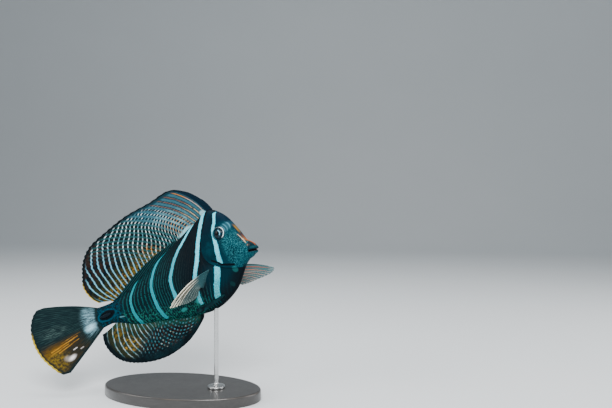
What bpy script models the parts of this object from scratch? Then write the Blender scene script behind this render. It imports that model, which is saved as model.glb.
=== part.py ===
"""Sailfin tang: a life-size still model of a swimming fish on a plain display stand.

The fish is drawn straight, in standard lengths: "along" runs from the root of the tail (0) to
the snout (1), "up" towards the back and "side" towards the fish's own left. bent() then curves
it the way a turning fish curves, and the fish_pose empty pitches, banks and lifts it over the
plinth. World axes: +X the fish's heading at mid body, +Y its left, +Z up, with the origin under
the middle of the plinth.
"""

import math
from collections import namedtuple

import bmesh
import bpy
import numpy as np
from mathutils import Matrix, Vector

# Driving dimensions, in metres, degrees and, where named so, standard lengths
STANDARD_LENGTH = 0.220
GAP = 0.0003
BODY_BEND = math.radians(-40.0)
BEND_CENTRE = 0.45
PITCH = math.radians(26.5)
BANK = math.radians(-10.0)
POSE_LOCATION = (-0.098, 0.010, 0.086)

PLINTH_LENGTH = 0.190
PLINTH_WIDTH = 0.100
PLINTH_HEIGHT = 0.012
PLINTH_EDGE = 0.0025
ROD_RADIUS = 0.0025
ROD_FOOT_RADIUS = 0.010
ROD_FOOT_HEIGHT = 0.004
ROD_SUNK = 0.006
ROD_AT_ALONG = 0.605

AROUND = 26
BOW_LEAN = 0.8
GILL_PLACE = 0.72
TAIL_CUT_PLACE = 0.065
GILL_COVER_LIP = 0.0036
GILL_COVER_LIP_LENGTH = 0.05
GAP_IN_LENGTHS = GAP / STANDARD_LENGTH
SMOOTH_UP_TO = math.radians(50.0)
CRISP_FROM = math.radians(30.0)

# One cross-section of the body: its place in the loft, the (along, up) points of its back and
# belly edges, how far its middle bows along the body, its half width, and how far its widest
# level lies above the middle. All in standard lengths.
Station = namedtuple("Station", "place back belly bow half_width widest")
BODY = [
    Station(0.000, (-0.020, 0.056), (-0.020, -0.060), -0.012, 0.013, 0.00),
    Station(0.060, (0.050, 0.053), (0.036, -0.057), -0.004, 0.026, 0.00),
    Station(0.115, (0.105, 0.061), (0.085, -0.076), 0.000, 0.035, 0.00),
    Station(0.190, (0.200, 0.092), (0.170, -0.120), 0.000, 0.047, 0.03),
    Station(0.290, (0.320, 0.135), (0.300, -0.156), 0.000, 0.059, 0.05),
    Station(0.410, (0.450, 0.182), (0.462, -0.204), -0.010, 0.069, 0.05),
    Station(0.525, (0.570, 0.219), (0.622, -0.225), -0.030, 0.075, 0.03),
    Station(0.625, (0.680, 0.250), (0.766, -0.183), -0.062, 0.077, 0.00),
    Station(GILL_PLACE, (0.785, 0.268), (0.866, -0.103), -0.130, 0.072, -0.05),
    Station(0.790, (0.857, 0.203), (0.905, -0.081), -0.068, 0.059, -0.05),
    Station(0.860, (0.902, 0.106), (0.925, -0.079), -0.028, 0.043, -0.05),
    Station(0.920, (0.932, 0.025), (0.940, -0.077), -0.006, 0.028, -0.05),
    Station(0.955, (0.955, 0.001), (0.951, -0.073), 0.000, 0.023, 0.00),
    Station(0.980, (0.970, -0.017), (0.962, -0.068), 0.003, 0.020, 0.00),
    Station(1.000, (0.977, -0.035), (0.967, -0.060), 0.004, 0.009, 0.00),
]
BODY_KEYS = [station.place for station in BODY]
BODY_VALUES = np.array([[*s.back, *s.belly, s.bow, s.half_width, s.widest] for s in BODY])

# Fins on the middle plane. Keys are (place across the fin, lean from the body's line in
# degrees, ray length in standard lengths), front ray first.
DORSAL_RAYS = 31
DORSAL_FRONT, DORSAL_REAR = 0.800, 0.078
DORSAL_KEYS = [
    (0.00, 63.0, 0.095), (0.03, 62.0, 0.168), (0.08, 55.5, 0.276), (0.19, 47.0, 0.336),
    (0.30, 40.5, 0.400), (0.415, 35.5, 0.426), (0.53, 31.0, 0.438), (0.64, 28.0, 0.400),
    (0.75, 25.5, 0.332), (0.86, 23.0, 0.256), (0.95, 20.0, 0.160), (1.00, 15.0, 0.085),
]
ANAL_RAYS = 26
ANAL_FRONT, ANAL_REAR = 0.528, 0.050
ANAL_KEYS = [
    (0.00, 52.0, 0.024), (0.03, 50.0, 0.070), (0.08, 47.0, 0.130), (0.14, 45.0, 0.170),
    (0.27, 43.0, 0.219), (0.45, 41.0, 0.242), (0.63, 38.0, 0.232), (0.78, 34.0, 0.198),
    (0.91, 28.0, 0.148), (1.00, 19.0, 0.090),
]
CAUDAL_RAYS = 18
CAUDAL_KEYS = [
    (0.00, 22.5, 0.285), (0.06, 20.5, 0.322), (0.20, 13.0, 0.346), (0.40, 3.0, 0.350),
    (0.60, -8.5, 0.340), (0.80, -22.0, 0.320), (0.94, -32.0, 0.304), (1.00, -35.5, 0.275),
]
CAUDAL_CURL = 9.0

LEAN_EXTRA_AT_ROOT = 10.0
DORSAL_SWAY = 0.014
ANAL_SWAY = 0.010
ROOT_CLEARANCE = 1.3 * GAP_IN_LENGTHS
MEDIAN_FLARE = 0.0040
CAUDAL_FLARE = 0.0095
PAIRED_FLARE = 0.0008
CAUDAL_ROOT_LEVEL = 0.97

RAY_ROWS = [0.0, 0.04, 0.13, 0.30, 0.50, 0.70, 0.88, 1.0]
RIDGE_SHARE = 0.30
RAY_HALF_ROOT = 0.0032
RAY_HALF_TIP = 0.0019
MEMBRANE_HALF = 0.00125
SCALLOP = 0.012
SHEATH_REACH = 0.022

PAIRED_ROWS = [0.0, 0.12, 0.35, 0.60, 0.82, 1.0]
PAIRED_MEAN_REACH = 0.2
PAIRED_STAND_OFF = GAP_IN_LENGTHS + RAY_HALF_ROOT + 0.0022

# Paired fins: rays fan between two directions, each (forward, up, outward)
PECTORAL_RAYS = 15
PECTORAL_ROOT = ((0.693, -0.040), (0.622, -0.107))
PECTORAL_LENGTH_KEYS = [
    (0.0, 0.273), (0.07, 0.285), (0.30, 0.215), (0.60, 0.146), (0.85, 0.086), (1.0, 0.050),
]
FOLDED_PECTORAL = ((-0.83, -0.36, 0.43), (-0.76, -0.57, 0.32))
SPREAD_LENGTH_KEYS = [
    (0.00, 0.252), (0.07, 0.280), (0.30, 0.262), (0.60, 0.190), (0.85, 0.152), (1.00, 0.126),
]
SPREAD_PECTORAL = ((0.46, -0.20, 0.86), (0.86, -0.34, 0.36))
FOLDED_CUP = 0.012
FOLDED_RAY_ARCH = 0.020
SPREAD_CUP = 0.018
SPREAD_RAY_ARCH = 0.022
PELVIC_RAYS = 6
PELVIC_ROOT = ((0.700, -0.182), (0.684, -0.190))
PELVIC_LENGTH_KEYS = [(0.0, 0.172), (0.4, 0.176), (1.0, 0.118)]
FOLDED_PELVIC = ((-0.99, -0.04, 0.10), (-0.97, -0.20, 0.12))

EYE_AT = (0.822, 0.109)
EYE_RADIUS = 0.030
EYE_DEPTH = 0.018
EYE_SUNK = 0.006
EYE_RIM_RADIUS = 0.0052
EYE_RIM_SPREAD = 0.0025
EYE_TURN_OUT = 0.6
NOSTRILS = [((0.868, 0.078), 0.0042), ((0.881, 0.064), 0.0032)]
MOUTH_LINE = ((0.990, -0.060), (0.937, -0.046))
MOUTH_HALF_OPEN = 0.0040
MOUTH_CORNER_HALF_OPEN = 0.0010
MOUTH_REACH = 0.05
SPINE_SPAN = (-0.012, 0.046)
SPINE_UP = -0.006
SPINE_HALF_HEIGHT = 0.0085
SPINE_THICKNESS = 0.0062

Finish = namedtuple("Finish", "colour roughness metallic")
SKIN = Finish((0.030, 0.045, 0.050), 0.45, 0.0)
HEAD_SKIN = Finish((0.035, 0.095, 0.100), 0.42, 0.0)
PEDUNCLE_SKIN = Finish((0.020, 0.060, 0.110), 0.42, 0.0)
SAIL = Finish((0.210, 0.260, 0.250), 0.50, 0.0)
TAIL_SKIN = Finish((0.085, 0.095, 0.070), 0.50, 0.0)
PECTORAL_SKIN = Finish((0.480, 0.440, 0.330), 0.50, 0.0)
PELVIC_SKIN = Finish((0.020, 0.035, 0.040), 0.50, 0.0)
EYE = Finish((0.015, 0.020, 0.030), 0.08, 0.0)
SCALPEL = Finish((0.060, 0.070, 0.090), 0.35, 0.0)
PLINTH_LACQUER = Finish((0.035, 0.035, 0.038), 0.35, 0.0)
STEEL = Finish((0.620, 0.620, 0.620), 0.25, 1.0)


def smooth(keys, values, place):
    """Read values between keys on a curve that passes through all of them."""
    values = np.asarray(values, dtype=float)
    last = len(keys) - 1
    place = min(max(place, keys[0]), keys[-1])
    low = max(0, min(last - 1, int(np.searchsorted(keys, place, side="right")) - 1))

    def slope(index):
        before, after = max(index - 1, 0), min(index + 1, last)
        return (values[after] - values[before]) / (keys[after] - keys[before])

    span = keys[low + 1] - keys[low]
    t = (place - keys[low]) / span
    rise = (2 * t ** 3 - 3 * t ** 2 + 1) * values[low] + (3 * t ** 2 - 2 * t ** 3) * values[low + 1]
    turn = (t ** 3 - 2 * t ** 2 + t) * slope(low) + (t ** 3 - t ** 2) * slope(low + 1)
    return rise + span * turn


SIDEWAYS = Vector((0, 0, 1))


def section_point(place, level):
    """The (along, up) point of a cross-section at a level from -1, the belly, to 1, the back."""
    back_along, back_up, belly_along, belly_up, bow, _, _ = smooth(BODY_KEYS, BODY_VALUES, place)
    share = (1 + level) / 2
    along = belly_along + (back_along - belly_along) * share
    along += bow * (1 - level ** 2) * (1 - BOW_LEAN * level)
    return Vector((along, belly_up + (back_up - belly_up) * share))


def forward_of_section(place, level):
    """Unit (along, up) vector square to a cross-section's line, towards the head."""
    step = 0.02
    high, low = min(1.0, level + step), max(-1.0, level - step)
    line = section_point(place, high) - section_point(place, low)
    return Vector((line.y, -line.x)).normalized()


def body_point(place, turn, shift=0.0, swell=0.0):
    """A point of the skin. turn goes round from the back over the left side."""
    values = smooth(BODY_KEYS, BODY_VALUES, place)
    level = math.cos(turn) + values[6] * math.sin(turn) ** 2
    point = section_point(place, level) + shift * forward_of_section(place, level)
    return Vector((point.x, point.y, (values[5] + swell) * math.sin(turn)))


EDGE_PLACES = np.linspace(0.0, GILL_PLACE + 0.03, 200)
EDGE_ALONG = {level: [section_point(place, level).x for place in EDGE_PLACES] for level in (-1, 1)}


def edge_point(along, level):
    """Point and outward normal, as (along, up), of the back (level 1) or belly (level -1) edge."""
    place = float(np.interp(along, EDGE_ALONG[level], EDGE_PLACES))
    step = 0.004
    line = section_point(place + step, level) - section_point(max(place - step, 0), level)
    normal = Vector((-line.y, line.x)).normalized() * level
    return section_point(place, level), normal


SKIN_TABLE = [
    (place, turn, body_point(place, turn).xy)
    for place in np.linspace(0.01, 0.99, 50) for turn in np.linspace(0.1, 3.04, 40)
]


def skin_at(along, up, hand):
    """Point and outward normal of the skin at (along, up) on the left (1) or right (-1)."""
    place, turn, _ = min(SKIN_TABLE, key=lambda row: (row[2] - Vector((along, up))).length)
    step = 0.002
    for _ in range(6):
        here = body_point(place, turn)
        by_place = (body_point(place + step, turn) - here) / step
        by_turn = (body_point(place, turn + step) - here) / step
        miss = Vector((along, up)) - here.xy
        area = by_place.x * by_turn.y - by_place.y * by_turn.x
        place += (miss.x * by_turn.y - miss.y * by_turn.x) / area
        turn += (by_place.x * miss.y - by_place.y * miss.x) / area
    here = body_point(place, turn)
    normal = (body_point(place, turn + step) - here).cross(body_point(place + step, turn) - here)
    normal.normalize()
    if normal.z < 0:
        normal.negate()
    return Vector((here.x, here.y, hand * here.z)), Vector((normal.x, normal.y, hand * normal.z))


def bent(point):
    """Curve a straight-fish point sideways along the body's line, in metres."""
    along, up, side = point
    angle = BODY_BEND * (along - BEND_CENTRE)
    x = BEND_CENTRE + math.sin(angle) / BODY_BEND - side * math.sin(angle)
    y = (1 - math.cos(angle)) / BODY_BEND + side * math.cos(angle)
    return Vector((x, y, up)) * STANDARD_LENGTH


def make_material(name, finish):
    """A plain Principled material for one object."""
    material = bpy.data.materials.new(name)
    material.use_nodes = True
    shader = material.node_tree.nodes["Principled BSDF"]
    shader.inputs["Base Color"].default_value = (*finish.colour, 1.0)
    shader.inputs["Roughness"].default_value = finish.roughness
    shader.inputs["Metallic"].default_value = finish.metallic
    material.diffuse_color = (*finish.colour, 1.0)
    return material


def make_object(name, points, faces, finish=None, parent=None, crease=SMOOTH_UP_TO):
    """One closed object from points and faces, its faces turned outwards."""
    mesh = bpy.data.meshes.new(name)
    mesh.from_pydata([tuple(point) for point in points], [], faces)
    work = bmesh.new()
    work.from_mesh(mesh)
    bmesh.ops.recalc_face_normals(work, faces=work.faces)
    if work.calc_volume(signed=True) < 0:
        bmesh.ops.reverse_faces(work, faces=work.faces)
    work.to_mesh(mesh)
    work.free()
    mesh.shade_smooth()
    mesh.set_sharp_from_angle(angle=crease)
    thing = bpy.data.objects.new(name, mesh)
    bpy.context.scene.collection.objects.link(thing)
    thing.parent = parent
    if finish:
        mesh.materials.append(make_material(name + "_finish", finish))
    return thing


def keep_largest(mesh):
    """Drop every closed surface of a mesh but the largest."""
    work = bmesh.new()
    work.from_mesh(mesh)
    left = set(work.faces)
    shells = []
    while left:
        shell, waiting = set(), [left.pop()]
        while waiting:
            face = waiting.pop()
            shell.add(face)
            for edge in face.edges:
                for other in edge.link_faces:
                    if other in left:
                        left.remove(other)
                        waiting.append(other)
        shells.append(shell)
    shells.sort(key=lambda shell: sum(face.calc_area() for face in shell))
    for shell in shells[:-1]:
        bmesh.ops.delete(work, geom=list(shell), context="FACES")
    work.to_mesh(mesh)
    work.free()


def combine(thing, pieces, operation):
    """Union or cut an object with closed pieces, which are then removed."""
    group = bpy.data.collections.new(thing.name + "_" + operation.lower())
    bpy.context.scene.collection.children.link(group)
    for piece in pieces:
        group.objects.link(piece)
        piece.hide_render = True
        piece.display_type = "WIRE"
    step = thing.modifiers.new(operation, "BOOLEAN")
    step.operation = operation
    step.operand_type = "COLLECTION"
    step.collection = group
    step.solver = "EXACT"
    graph = bpy.context.evaluated_depsgraph_get()
    result = bpy.data.meshes.new_from_object(thing.evaluated_get(graph))
    thing.modifiers.clear()
    thing.data = result
    for piece in pieces:
        bpy.data.objects.remove(piece)
    bpy.data.collections.remove(group)
    keep_largest(result)
    result.shade_smooth()
    result.set_sharp_from_angle(angle=SMOOTH_UP_TO)


def loft_body(name, places, finish, parent, gap_behind=0.0, rear_lip=0.0):
    """A length of the body between two of its cross-sections, closed by its end sections."""
    points, faces = [], []
    for ring, place in enumerate(places):
        shift = gap_behind if ring == 0 else 0.0
        swell = rear_lip * max(0.0, 1 - (place - places[0]) / GILL_COVER_LIP_LENGTH)
        turns = [2 * math.pi * k / AROUND for k in range(AROUND)]
        points += [bent(body_point(place, turn, shift, swell)) for turn in turns]
    for ring in range(len(places) - 1):
        for k in range(AROUND):
            a, b = ring * AROUND + k, ring * AROUND + (k + 1) % AROUND
            faces += [(a, b, b + AROUND), (a, b + AROUND, a + AROUND)]
    for start in (0, (len(places) - 1) * AROUND):
        for k in range(AROUND // 2):
            left = (start + k, start + k + 1)
            right = (start + (AROUND - k) % AROUND, start + AROUND - k - 1)
            if k > 0:
                faces.append((left[0], left[1], right[0]))
            if k < AROUND // 2 - 1:
                faces.append((left[1], right[1], right[0]))
    return make_object(name, points, faces, finish, parent)


def ray_columns(ray_count):
    """Places across a fin: the crest of each ray and the two feet of its ridge."""
    spacing = 1 / (ray_count - 1)
    columns = []
    for ray in range(ray_count):
        crest = ray * spacing
        if ray > 0:
            columns.append((crest - RIDGE_SHARE * spacing, False))
        columns.append((crest, True))
        if ray < ray_count - 1:
            columns.append((crest + RIDGE_SHARE * spacing, False))
    return columns


def half_thickness(out, on_ray, flare):
    """Half the fin's thickness at a share of the way out, with its root flared by the sheath."""
    ray = RAY_HALF_ROOT + (RAY_HALF_TIP - RAY_HALF_ROOT) * out
    plain = ray if on_ray else MEMBRANE_HALF
    return plain + flare * math.exp(-out / SHEATH_REACH / 4)


def fin_solid(name, centre, normal, flare, ray_count, rows, finish, parent):
    """A sheet with raised rays, split into triangles alike on both faces.

    centre(across, out) gives its middle surface, normal is the unit vector square to it and
    flare(across) the extra half thickness at its root.
    """
    columns = ray_columns(ray_count)
    front, back = [], []
    for across, on_ray in columns:
        for out in rows:
            reach = out * (1.0 if on_ray else 1.0 - SCALLOP * out)
            middle = centre(across, reach)
            half = half_thickness(out, on_ray, flare(across))
            front.append(bent(middle + half * normal))
            back.append(bent(middle - half * normal))
    count, across_last, out_last = len(front), len(columns) - 1, len(rows) - 1

    def at(column, row, side):
        return column * len(rows) + row + side * count

    faces = []
    for column in range(across_last):
        for row in range(out_last):
            for side in (0, 1):
                a, b = at(column, row, side), at(column + 1, row, side)
                c, d = at(column + 1, row + 1, side), at(column, row + 1, side)
                faces += [(a, b, c), (a, c, d)] if side else [(c, b, a), (d, c, a)]
    rim = [(column, 0) for column in range(across_last)]
    rim += [(across_last, row) for row in range(out_last)]
    rim += [(column, out_last) for column in range(across_last, 0, -1)]
    rim += [(0, row) for row in range(out_last, 0, -1)]
    for here, there in zip(rim, rim[1:] + rim[:1]):
        a, b, c, d = at(*here, 0), at(*there, 0), at(*there, 1), at(*here, 1)
        faces += [(a, b, c), (a, c, d)]
    return make_object(name, front + back, faces, finish, parent)


def sail_wave(across, out, reach):
    """The gentle sideways sway of a tall fin, nothing at its root."""
    return reach * math.sin(2 * math.pi * (0.9 * across + 0.1)) * out ** 1.6


def median_fin(name, keys, ray_count, span, level, finish, parent, sway):
    """The dorsal or anal fin: rays rooted on the body's edge, leaning back."""
    places = [key[0] for key in keys]
    values = [key[1:] for key in keys]

    def centre(across, out):
        lean, length = smooth(places, values, across)
        root, outward = edge_point(span[0] + (span[1] - span[0]) * across, level)
        root = root + outward * ROOT_CLEARANCE
        angle = math.radians(lean + LEAN_EXTRA_AT_ROOT * (1 - out))
        run = length * out
        return Vector((
            root.x - run * math.cos(angle),
            root.y + level * run * math.sin(angle),
            sail_wave(across, out, sway),
        ))

    return fin_solid(
        name, centre, SIDEWAYS, lambda across: MEDIAN_FLARE, ray_count, RAY_ROWS, finish, parent,
    )


def caudal_fin(parent):
    """The tail: rays fanned from the curved end of the tail base."""
    places = [key[0] for key in CAUDAL_KEYS]
    values = [key[1:] for key in CAUDAL_KEYS]

    def centre(across, out):
        angle, length = smooth(places, values, across)
        level = CAUDAL_ROOT_LEVEL * (1 - 2 * across)
        root = section_point(0.0, level) - forward_of_section(0.0, level) * GAP_IN_LENGTHS
        angle = math.radians(angle + CAUDAL_CURL * max(0.0, 1 - 2 * across) * (1 - out))
        run = length * out
        return Vector((root.x - run * math.cos(angle), root.y + run * math.sin(angle), 0.0))

    def flare(across):
        return CAUDAL_FLARE * math.sqrt(max(0.0, 1 - (2 * across - 1) ** 2))

    return fin_solid(
        "caudal_fin", centre, SIDEWAYS, flare, CAUDAL_RAYS, RAY_ROWS, TAIL_SKIN, parent,
    )


def paired_fin(name, hand, root, directions, length_keys, ray_count, bows, finish, parent):
    """A pectoral or pelvic fin: rays fanned from a short root line on the skin.

    bows holds how far the fan is cupped and how high each ray arches over its own chord.
    """
    places = [key[0] for key in length_keys]
    lengths = [[key[1]] for key in length_keys]
    first, last = (Vector((d[0], d[1], hand * d[2])).normalized() for d in directions)
    root_ends = [skin_at(*point, hand) for point in root]
    span = root_ends[1][0] - root_ends[0][0] + (last - first) * PAIRED_MEAN_REACH
    face = span.cross(first + last).normalized()
    cup, ray_arch = bows

    def centre(across, out):
        spot = root_ends[0][0].lerp(root_ends[1][0], across)
        outward = root_ends[0][1].lerp(root_ends[1][1], across)
        direction = first.lerp(last, across).normalized()
        run = float(smooth(places, lengths, across)[0]) * out
        hollow = face * cup * math.sin(math.pi * across) * out ** 1.3
        arch = Vector((0, 4 * ray_arch * out * (1 - out), 0))
        return spot + outward * PAIRED_STAND_OFF + direction * run + hollow + arch

    return fin_solid(
        name, centre, face, lambda across: PAIRED_FLARE, ray_count, PAIRED_ROWS, finish, parent,
    )


def ball(name, centre, axis, radius, depth, finish=None, parent=None, segments=20):
    """A flattened ball in straight-fish lengths, its short axis along axis."""
    work = bmesh.new()
    bmesh.ops.create_uvsphere(work, u_segments=segments, v_segments=segments // 2, radius=1.0)
    turn = axis.to_track_quat("Z", "Y").to_matrix()
    scale = Matrix.Diagonal((radius, radius, depth))
    points = [centre + turn @ scale @ v.co for v in work.verts]
    faces = [[v.index for v in face.verts] for face in work.faces]
    work.free()
    return make_object(name, [bent(point) for point in points], faces, finish, parent)


def ring(name, centre, axis, radius, thickness, parent, segments=22, sides=6):
    """A torus in straight-fish lengths, used for the rim of an eye."""
    turn = axis.to_track_quat("Z", "Y").to_matrix()
    points, faces = [], []
    for i in range(segments):
        a = 2 * math.pi * i / segments
        for j in range(sides):
            b = 2 * math.pi * j / sides
            reach = radius + thickness * math.cos(b)
            spot = Vector((reach * math.cos(a), reach * math.sin(a), thickness * math.sin(b)))
            points.append(bent(centre + turn @ spot))
            k, n = i * sides + j, ((i + 1) % segments) * sides
            faces.append((k, n + j, n + (j + 1) % sides, i * sides + (j + 1) % sides))
    return make_object(name, points, faces, None, parent)


def eye_frame(hand):
    """Centre and outward axis of an eye."""
    spot, normal = skin_at(*EYE_AT, hand)
    axis = Vector((normal.x * EYE_TURN_OUT, normal.y * EYE_TURN_OUT, normal.z)).normalized()
    return spot - axis * EYE_SUNK, axis


def mouth_cutter(parent):
    """A thin wedge that opens the line of the mouth from side to side."""
    front, corner = (Vector(point) for point in MOUTH_LINE)
    points = []
    for spot, half in ((front, MOUTH_HALF_OPEN), (corner, MOUTH_CORNER_HALF_OPEN)):
        for up in (half, -half):
            points += [bent((spot.x, spot.y + up, hand * MOUTH_REACH)) for hand in (-1, 1)]
    faces = [(0, 1, 3, 2), (4, 5, 7, 6), (0, 1, 5, 4), (2, 3, 7, 6), (0, 2, 6, 4), (1, 3, 7, 5)]
    return make_object("mouth_cutter", points, faces, None, parent)


def build_head(parent):
    """The head from the gill cover's edge to the lips, with its eye rims, nostrils and mouth."""
    places = [GILL_PLACE + (1 - GILL_PLACE) * k / 22 for k in range(23)]
    places[-1] = 0.999
    head = loft_body("head", places, HEAD_SKIN, parent, GAP_IN_LENGTHS, GILL_COVER_LIP)
    rims, cutters = [], [mouth_cutter(parent)]
    for hand in (1, -1):
        centre, axis = eye_frame(hand)
        level = centre + axis * EYE_SUNK
        radius = EYE_RADIUS * math.sqrt(1 - (EYE_SUNK / EYE_DEPTH) ** 2) + EYE_RIM_SPREAD
        rims.append(ring("eye_rim", level, axis, radius, EYE_RIM_RADIUS, parent))
        cutters.append(ball(
            "socket_cutter", centre, axis, EYE_RADIUS + GAP_IN_LENGTHS, EYE_DEPTH + GAP_IN_LENGTHS,
            None, parent,
        ))
        for place, size in NOSTRILS:
            spot, normal = skin_at(*place, hand)
            cutters.append(ball("nostril_cutter", spot, normal, size, size, None, parent, 8))
    combine(head, rims, "UNION")
    combine(head, cutters, "DIFFERENCE")
    return head


def build_eyes(parent):
    """Both eyes, each a flattened ball sunk in its socket."""
    for name, hand in (("eye_left", 1), ("eye_right", -1)):
        centre, axis = eye_frame(hand)
        ball(name, centre, axis, EYE_RADIUS, EYE_DEPTH, EYE, parent)


def build_tail_spine(name, hand, parent):
    """The folded scalpel: a blade that lies along the tail base, its point forward."""
    rows, columns = 5, 9
    inner, outer = [], []
    for i in range(columns):
        share = i / (columns - 1)
        along = SPINE_SPAN[0] + (SPINE_SPAN[1] - SPINE_SPAN[0]) * share
        height = SPINE_HALF_HEIGHT * (0.25 + 0.75 * math.sin(math.pi * (0.12 + 0.80 * share)))
        for j in range(rows):
            level = 2 * j / (rows - 1) - 1
            spot, normal = skin_at(along, SPINE_UP + height * level, hand)
            thick = SPINE_THICKNESS * (0.25 + 0.75 * (1 - level ** 2)) * (1 - 0.7 * share ** 2)
            inner.append(bent(spot + normal * ROOT_CLEARANCE))
            outer.append(bent(spot + normal * (ROOT_CLEARANCE + thick)))
    count = rows * columns
    faces = []
    for i in range(columns - 1):
        for j in range(rows - 1):
            a, b = i * rows + j, (i + 1) * rows + j
            c, d = b + 1, a + 1
            faces += [(a, b, c), (a, c, d)]
            faces += [(a + count, c + count, b + count), (a + count, d + count, c + count)]
    rim = [i * rows for i in range(columns)]
    rim += [(columns - 1) * rows + j for j in range(1, rows)]
    rim += [i * rows + rows - 1 for i in range(columns - 2, -1, -1)]
    rim += list(range(rows - 2, 0, -1))
    for a, b in zip(rim, rim[1:] + rim[:1]):
        faces += [(a, b, b + count), (a, b + count, a + count)]
    return make_object(name, inner + outer, faces, SCALPEL, parent)


def turned(name, profile, location, finish=None, segments=20):
    """A turned solid from (radius, height) points, closed on its axis."""
    points = [(0, 0, profile[0][1]), (0, 0, profile[-1][1])]
    faces = []
    for radius, height in profile:
        for k in range(segments):
            angle = 2 * math.pi * k / segments
            points.append((radius * math.cos(angle), radius * math.sin(angle), height))
    last = 2 + (len(profile) - 1) * segments
    for k in range(segments):
        n = (k + 1) % segments
        faces += [(0, 2 + n, 2 + k), (1, last + k, last + n)]
        for level in range(len(profile) - 1):
            a = 2 + level * segments
            faces.append((a + k, a + n, a + segments + n, a + segments + k))
    thing = make_object(name, points, faces, finish, None, CRISP_FROM)
    thing.location = location
    return thing


def build_stand(trunk, pose):
    """An oval plinth and one straight rod that ends in a socket in the belly."""
    work = bmesh.new()
    bmesh.ops.create_circle(work, cap_ends=True, segments=56, radius=0.5)
    bmesh.ops.scale(work, vec=(PLINTH_LENGTH, PLINTH_WIDTH, 1.0), verts=work.verts)
    top = bmesh.ops.extrude_face_region(work, geom=work.faces[:])["geom"]
    raised = [v for v in top if isinstance(v, bmesh.types.BMVert)]
    bmesh.ops.translate(work, vec=(0, 0, PLINTH_HEIGHT), verts=raised)
    rim = [edge for edge in work.edges if all(v.co.z > PLINTH_HEIGHT / 2 for v in edge.verts)]
    bmesh.ops.bevel(work, geom=rim, offset=PLINTH_EDGE, segments=3, profile=0.5, affect="EDGES")
    points = [v.co.copy() for v in work.verts]
    faces = [[v.index for v in face.verts] for face in work.faces]
    work.free()
    make_object("stand_base", points, faces, PLINTH_LACQUER, None, CRISP_FROM)

    keel, _ = edge_point(ROD_AT_ALONG, -1)
    spot = pose.matrix_basis @ bent((keel.x, keel.y, 0.0))
    foot = PLINTH_HEIGHT + GAP
    tip = spot.z + ROD_SUNK
    profile = [
        (ROD_FOOT_RADIUS, foot), (ROD_FOOT_RADIUS, foot + ROD_FOOT_HEIGHT * 0.5),
        (ROD_FOOT_RADIUS * 0.8, foot + ROD_FOOT_HEIGHT * 0.85),
        (ROD_RADIUS * 1.7, foot + ROD_FOOT_HEIGHT),
        (ROD_RADIUS, foot + ROD_FOOT_HEIGHT * 1.5), (ROD_RADIUS, tip),
    ]
    turned("stand_rod", profile, (spot.x, spot.y, 0.0), STEEL)
    hole = ROD_RADIUS + GAP
    socket = turned("rod_socket_cutter", [(hole, foot), (hole, tip + GAP)], (spot.x, spot.y, 0.0))
    combine(trunk, [socket], "DIFFERENCE")


def build_fish():
    """All the fish's pieces under one empty that holds its pose."""
    pose = bpy.data.objects.new("fish_pose", None)
    bpy.context.scene.collection.objects.link(pose)
    turn = Matrix.Rotation(-PITCH, 4, "Y") @ Matrix.Rotation(BANK, 4, "X")
    pose.rotation_euler = turn.to_euler()
    pose.location = POSE_LOCATION
    bpy.context.view_layer.update()

    build_head(pose)
    build_eyes(pose)
    trunk_places = np.linspace(TAIL_CUT_PLACE, GILL_PLACE, 32)
    trunk = loft_body("trunk", list(trunk_places), SKIN, pose, GAP_IN_LENGTHS)
    tail_places = np.linspace(0.0, TAIL_CUT_PLACE, 7)
    loft_body("tail_base", list(tail_places), PEDUNCLE_SKIN, pose)
    dorsal_span, anal_span = (DORSAL_FRONT, DORSAL_REAR), (ANAL_FRONT, ANAL_REAR)
    median_fin("dorsal_fin", DORSAL_KEYS, DORSAL_RAYS, dorsal_span, 1, SAIL, pose, DORSAL_SWAY)
    median_fin("anal_fin", ANAL_KEYS, ANAL_RAYS, anal_span, -1, SAIL, pose, ANAL_SWAY)
    caudal_fin(pose)
    paired_fin(
        "pectoral_fin_right", -1, PECTORAL_ROOT, FOLDED_PECTORAL, PECTORAL_LENGTH_KEYS,
        PECTORAL_RAYS, (FOLDED_CUP, FOLDED_RAY_ARCH), PECTORAL_SKIN, pose,
    )
    paired_fin(
        "pectoral_fin_left", 1, PECTORAL_ROOT, SPREAD_PECTORAL, SPREAD_LENGTH_KEYS,
        PECTORAL_RAYS, (SPREAD_CUP, SPREAD_RAY_ARCH), PECTORAL_SKIN, pose,
    )
    for name, hand in (("pelvic_fin_right", -1), ("pelvic_fin_left", 1)):
        paired_fin(
            name, hand, PELVIC_ROOT, FOLDED_PELVIC, PELVIC_LENGTH_KEYS, PELVIC_RAYS, (0.0, 0.0),
            PELVIC_SKIN, pose,
        )
    build_tail_spine("tail_spine_right", -1, pose)
    build_tail_spine("tail_spine_left", 1, pose)
    return pose, trunk


def main():
    """Clear the scene and build the model."""
    for thing in list(bpy.data.objects):
        bpy.data.objects.remove(thing)
    pose, trunk = build_fish()
    build_stand(trunk, pose)


main()
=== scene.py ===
"""Looks of the life-size sailfin tang display model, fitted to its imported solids.

The fish is drawn straight, in standard lengths, as (along, up, side): along runs from the root
of the tail (0) to the snout (1), up goes towards the back and side towards the fish's own left.
FishForm bends it as a turning fish bends and sets it at its pitch and bank over the plinth.
"""

import logging
import math
from dataclasses import dataclass
from enum import Enum
from typing import Any, Callable, Sequence

import bmesh
import bpy
import numpy as np
from mathutils import Matrix, Vector


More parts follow.
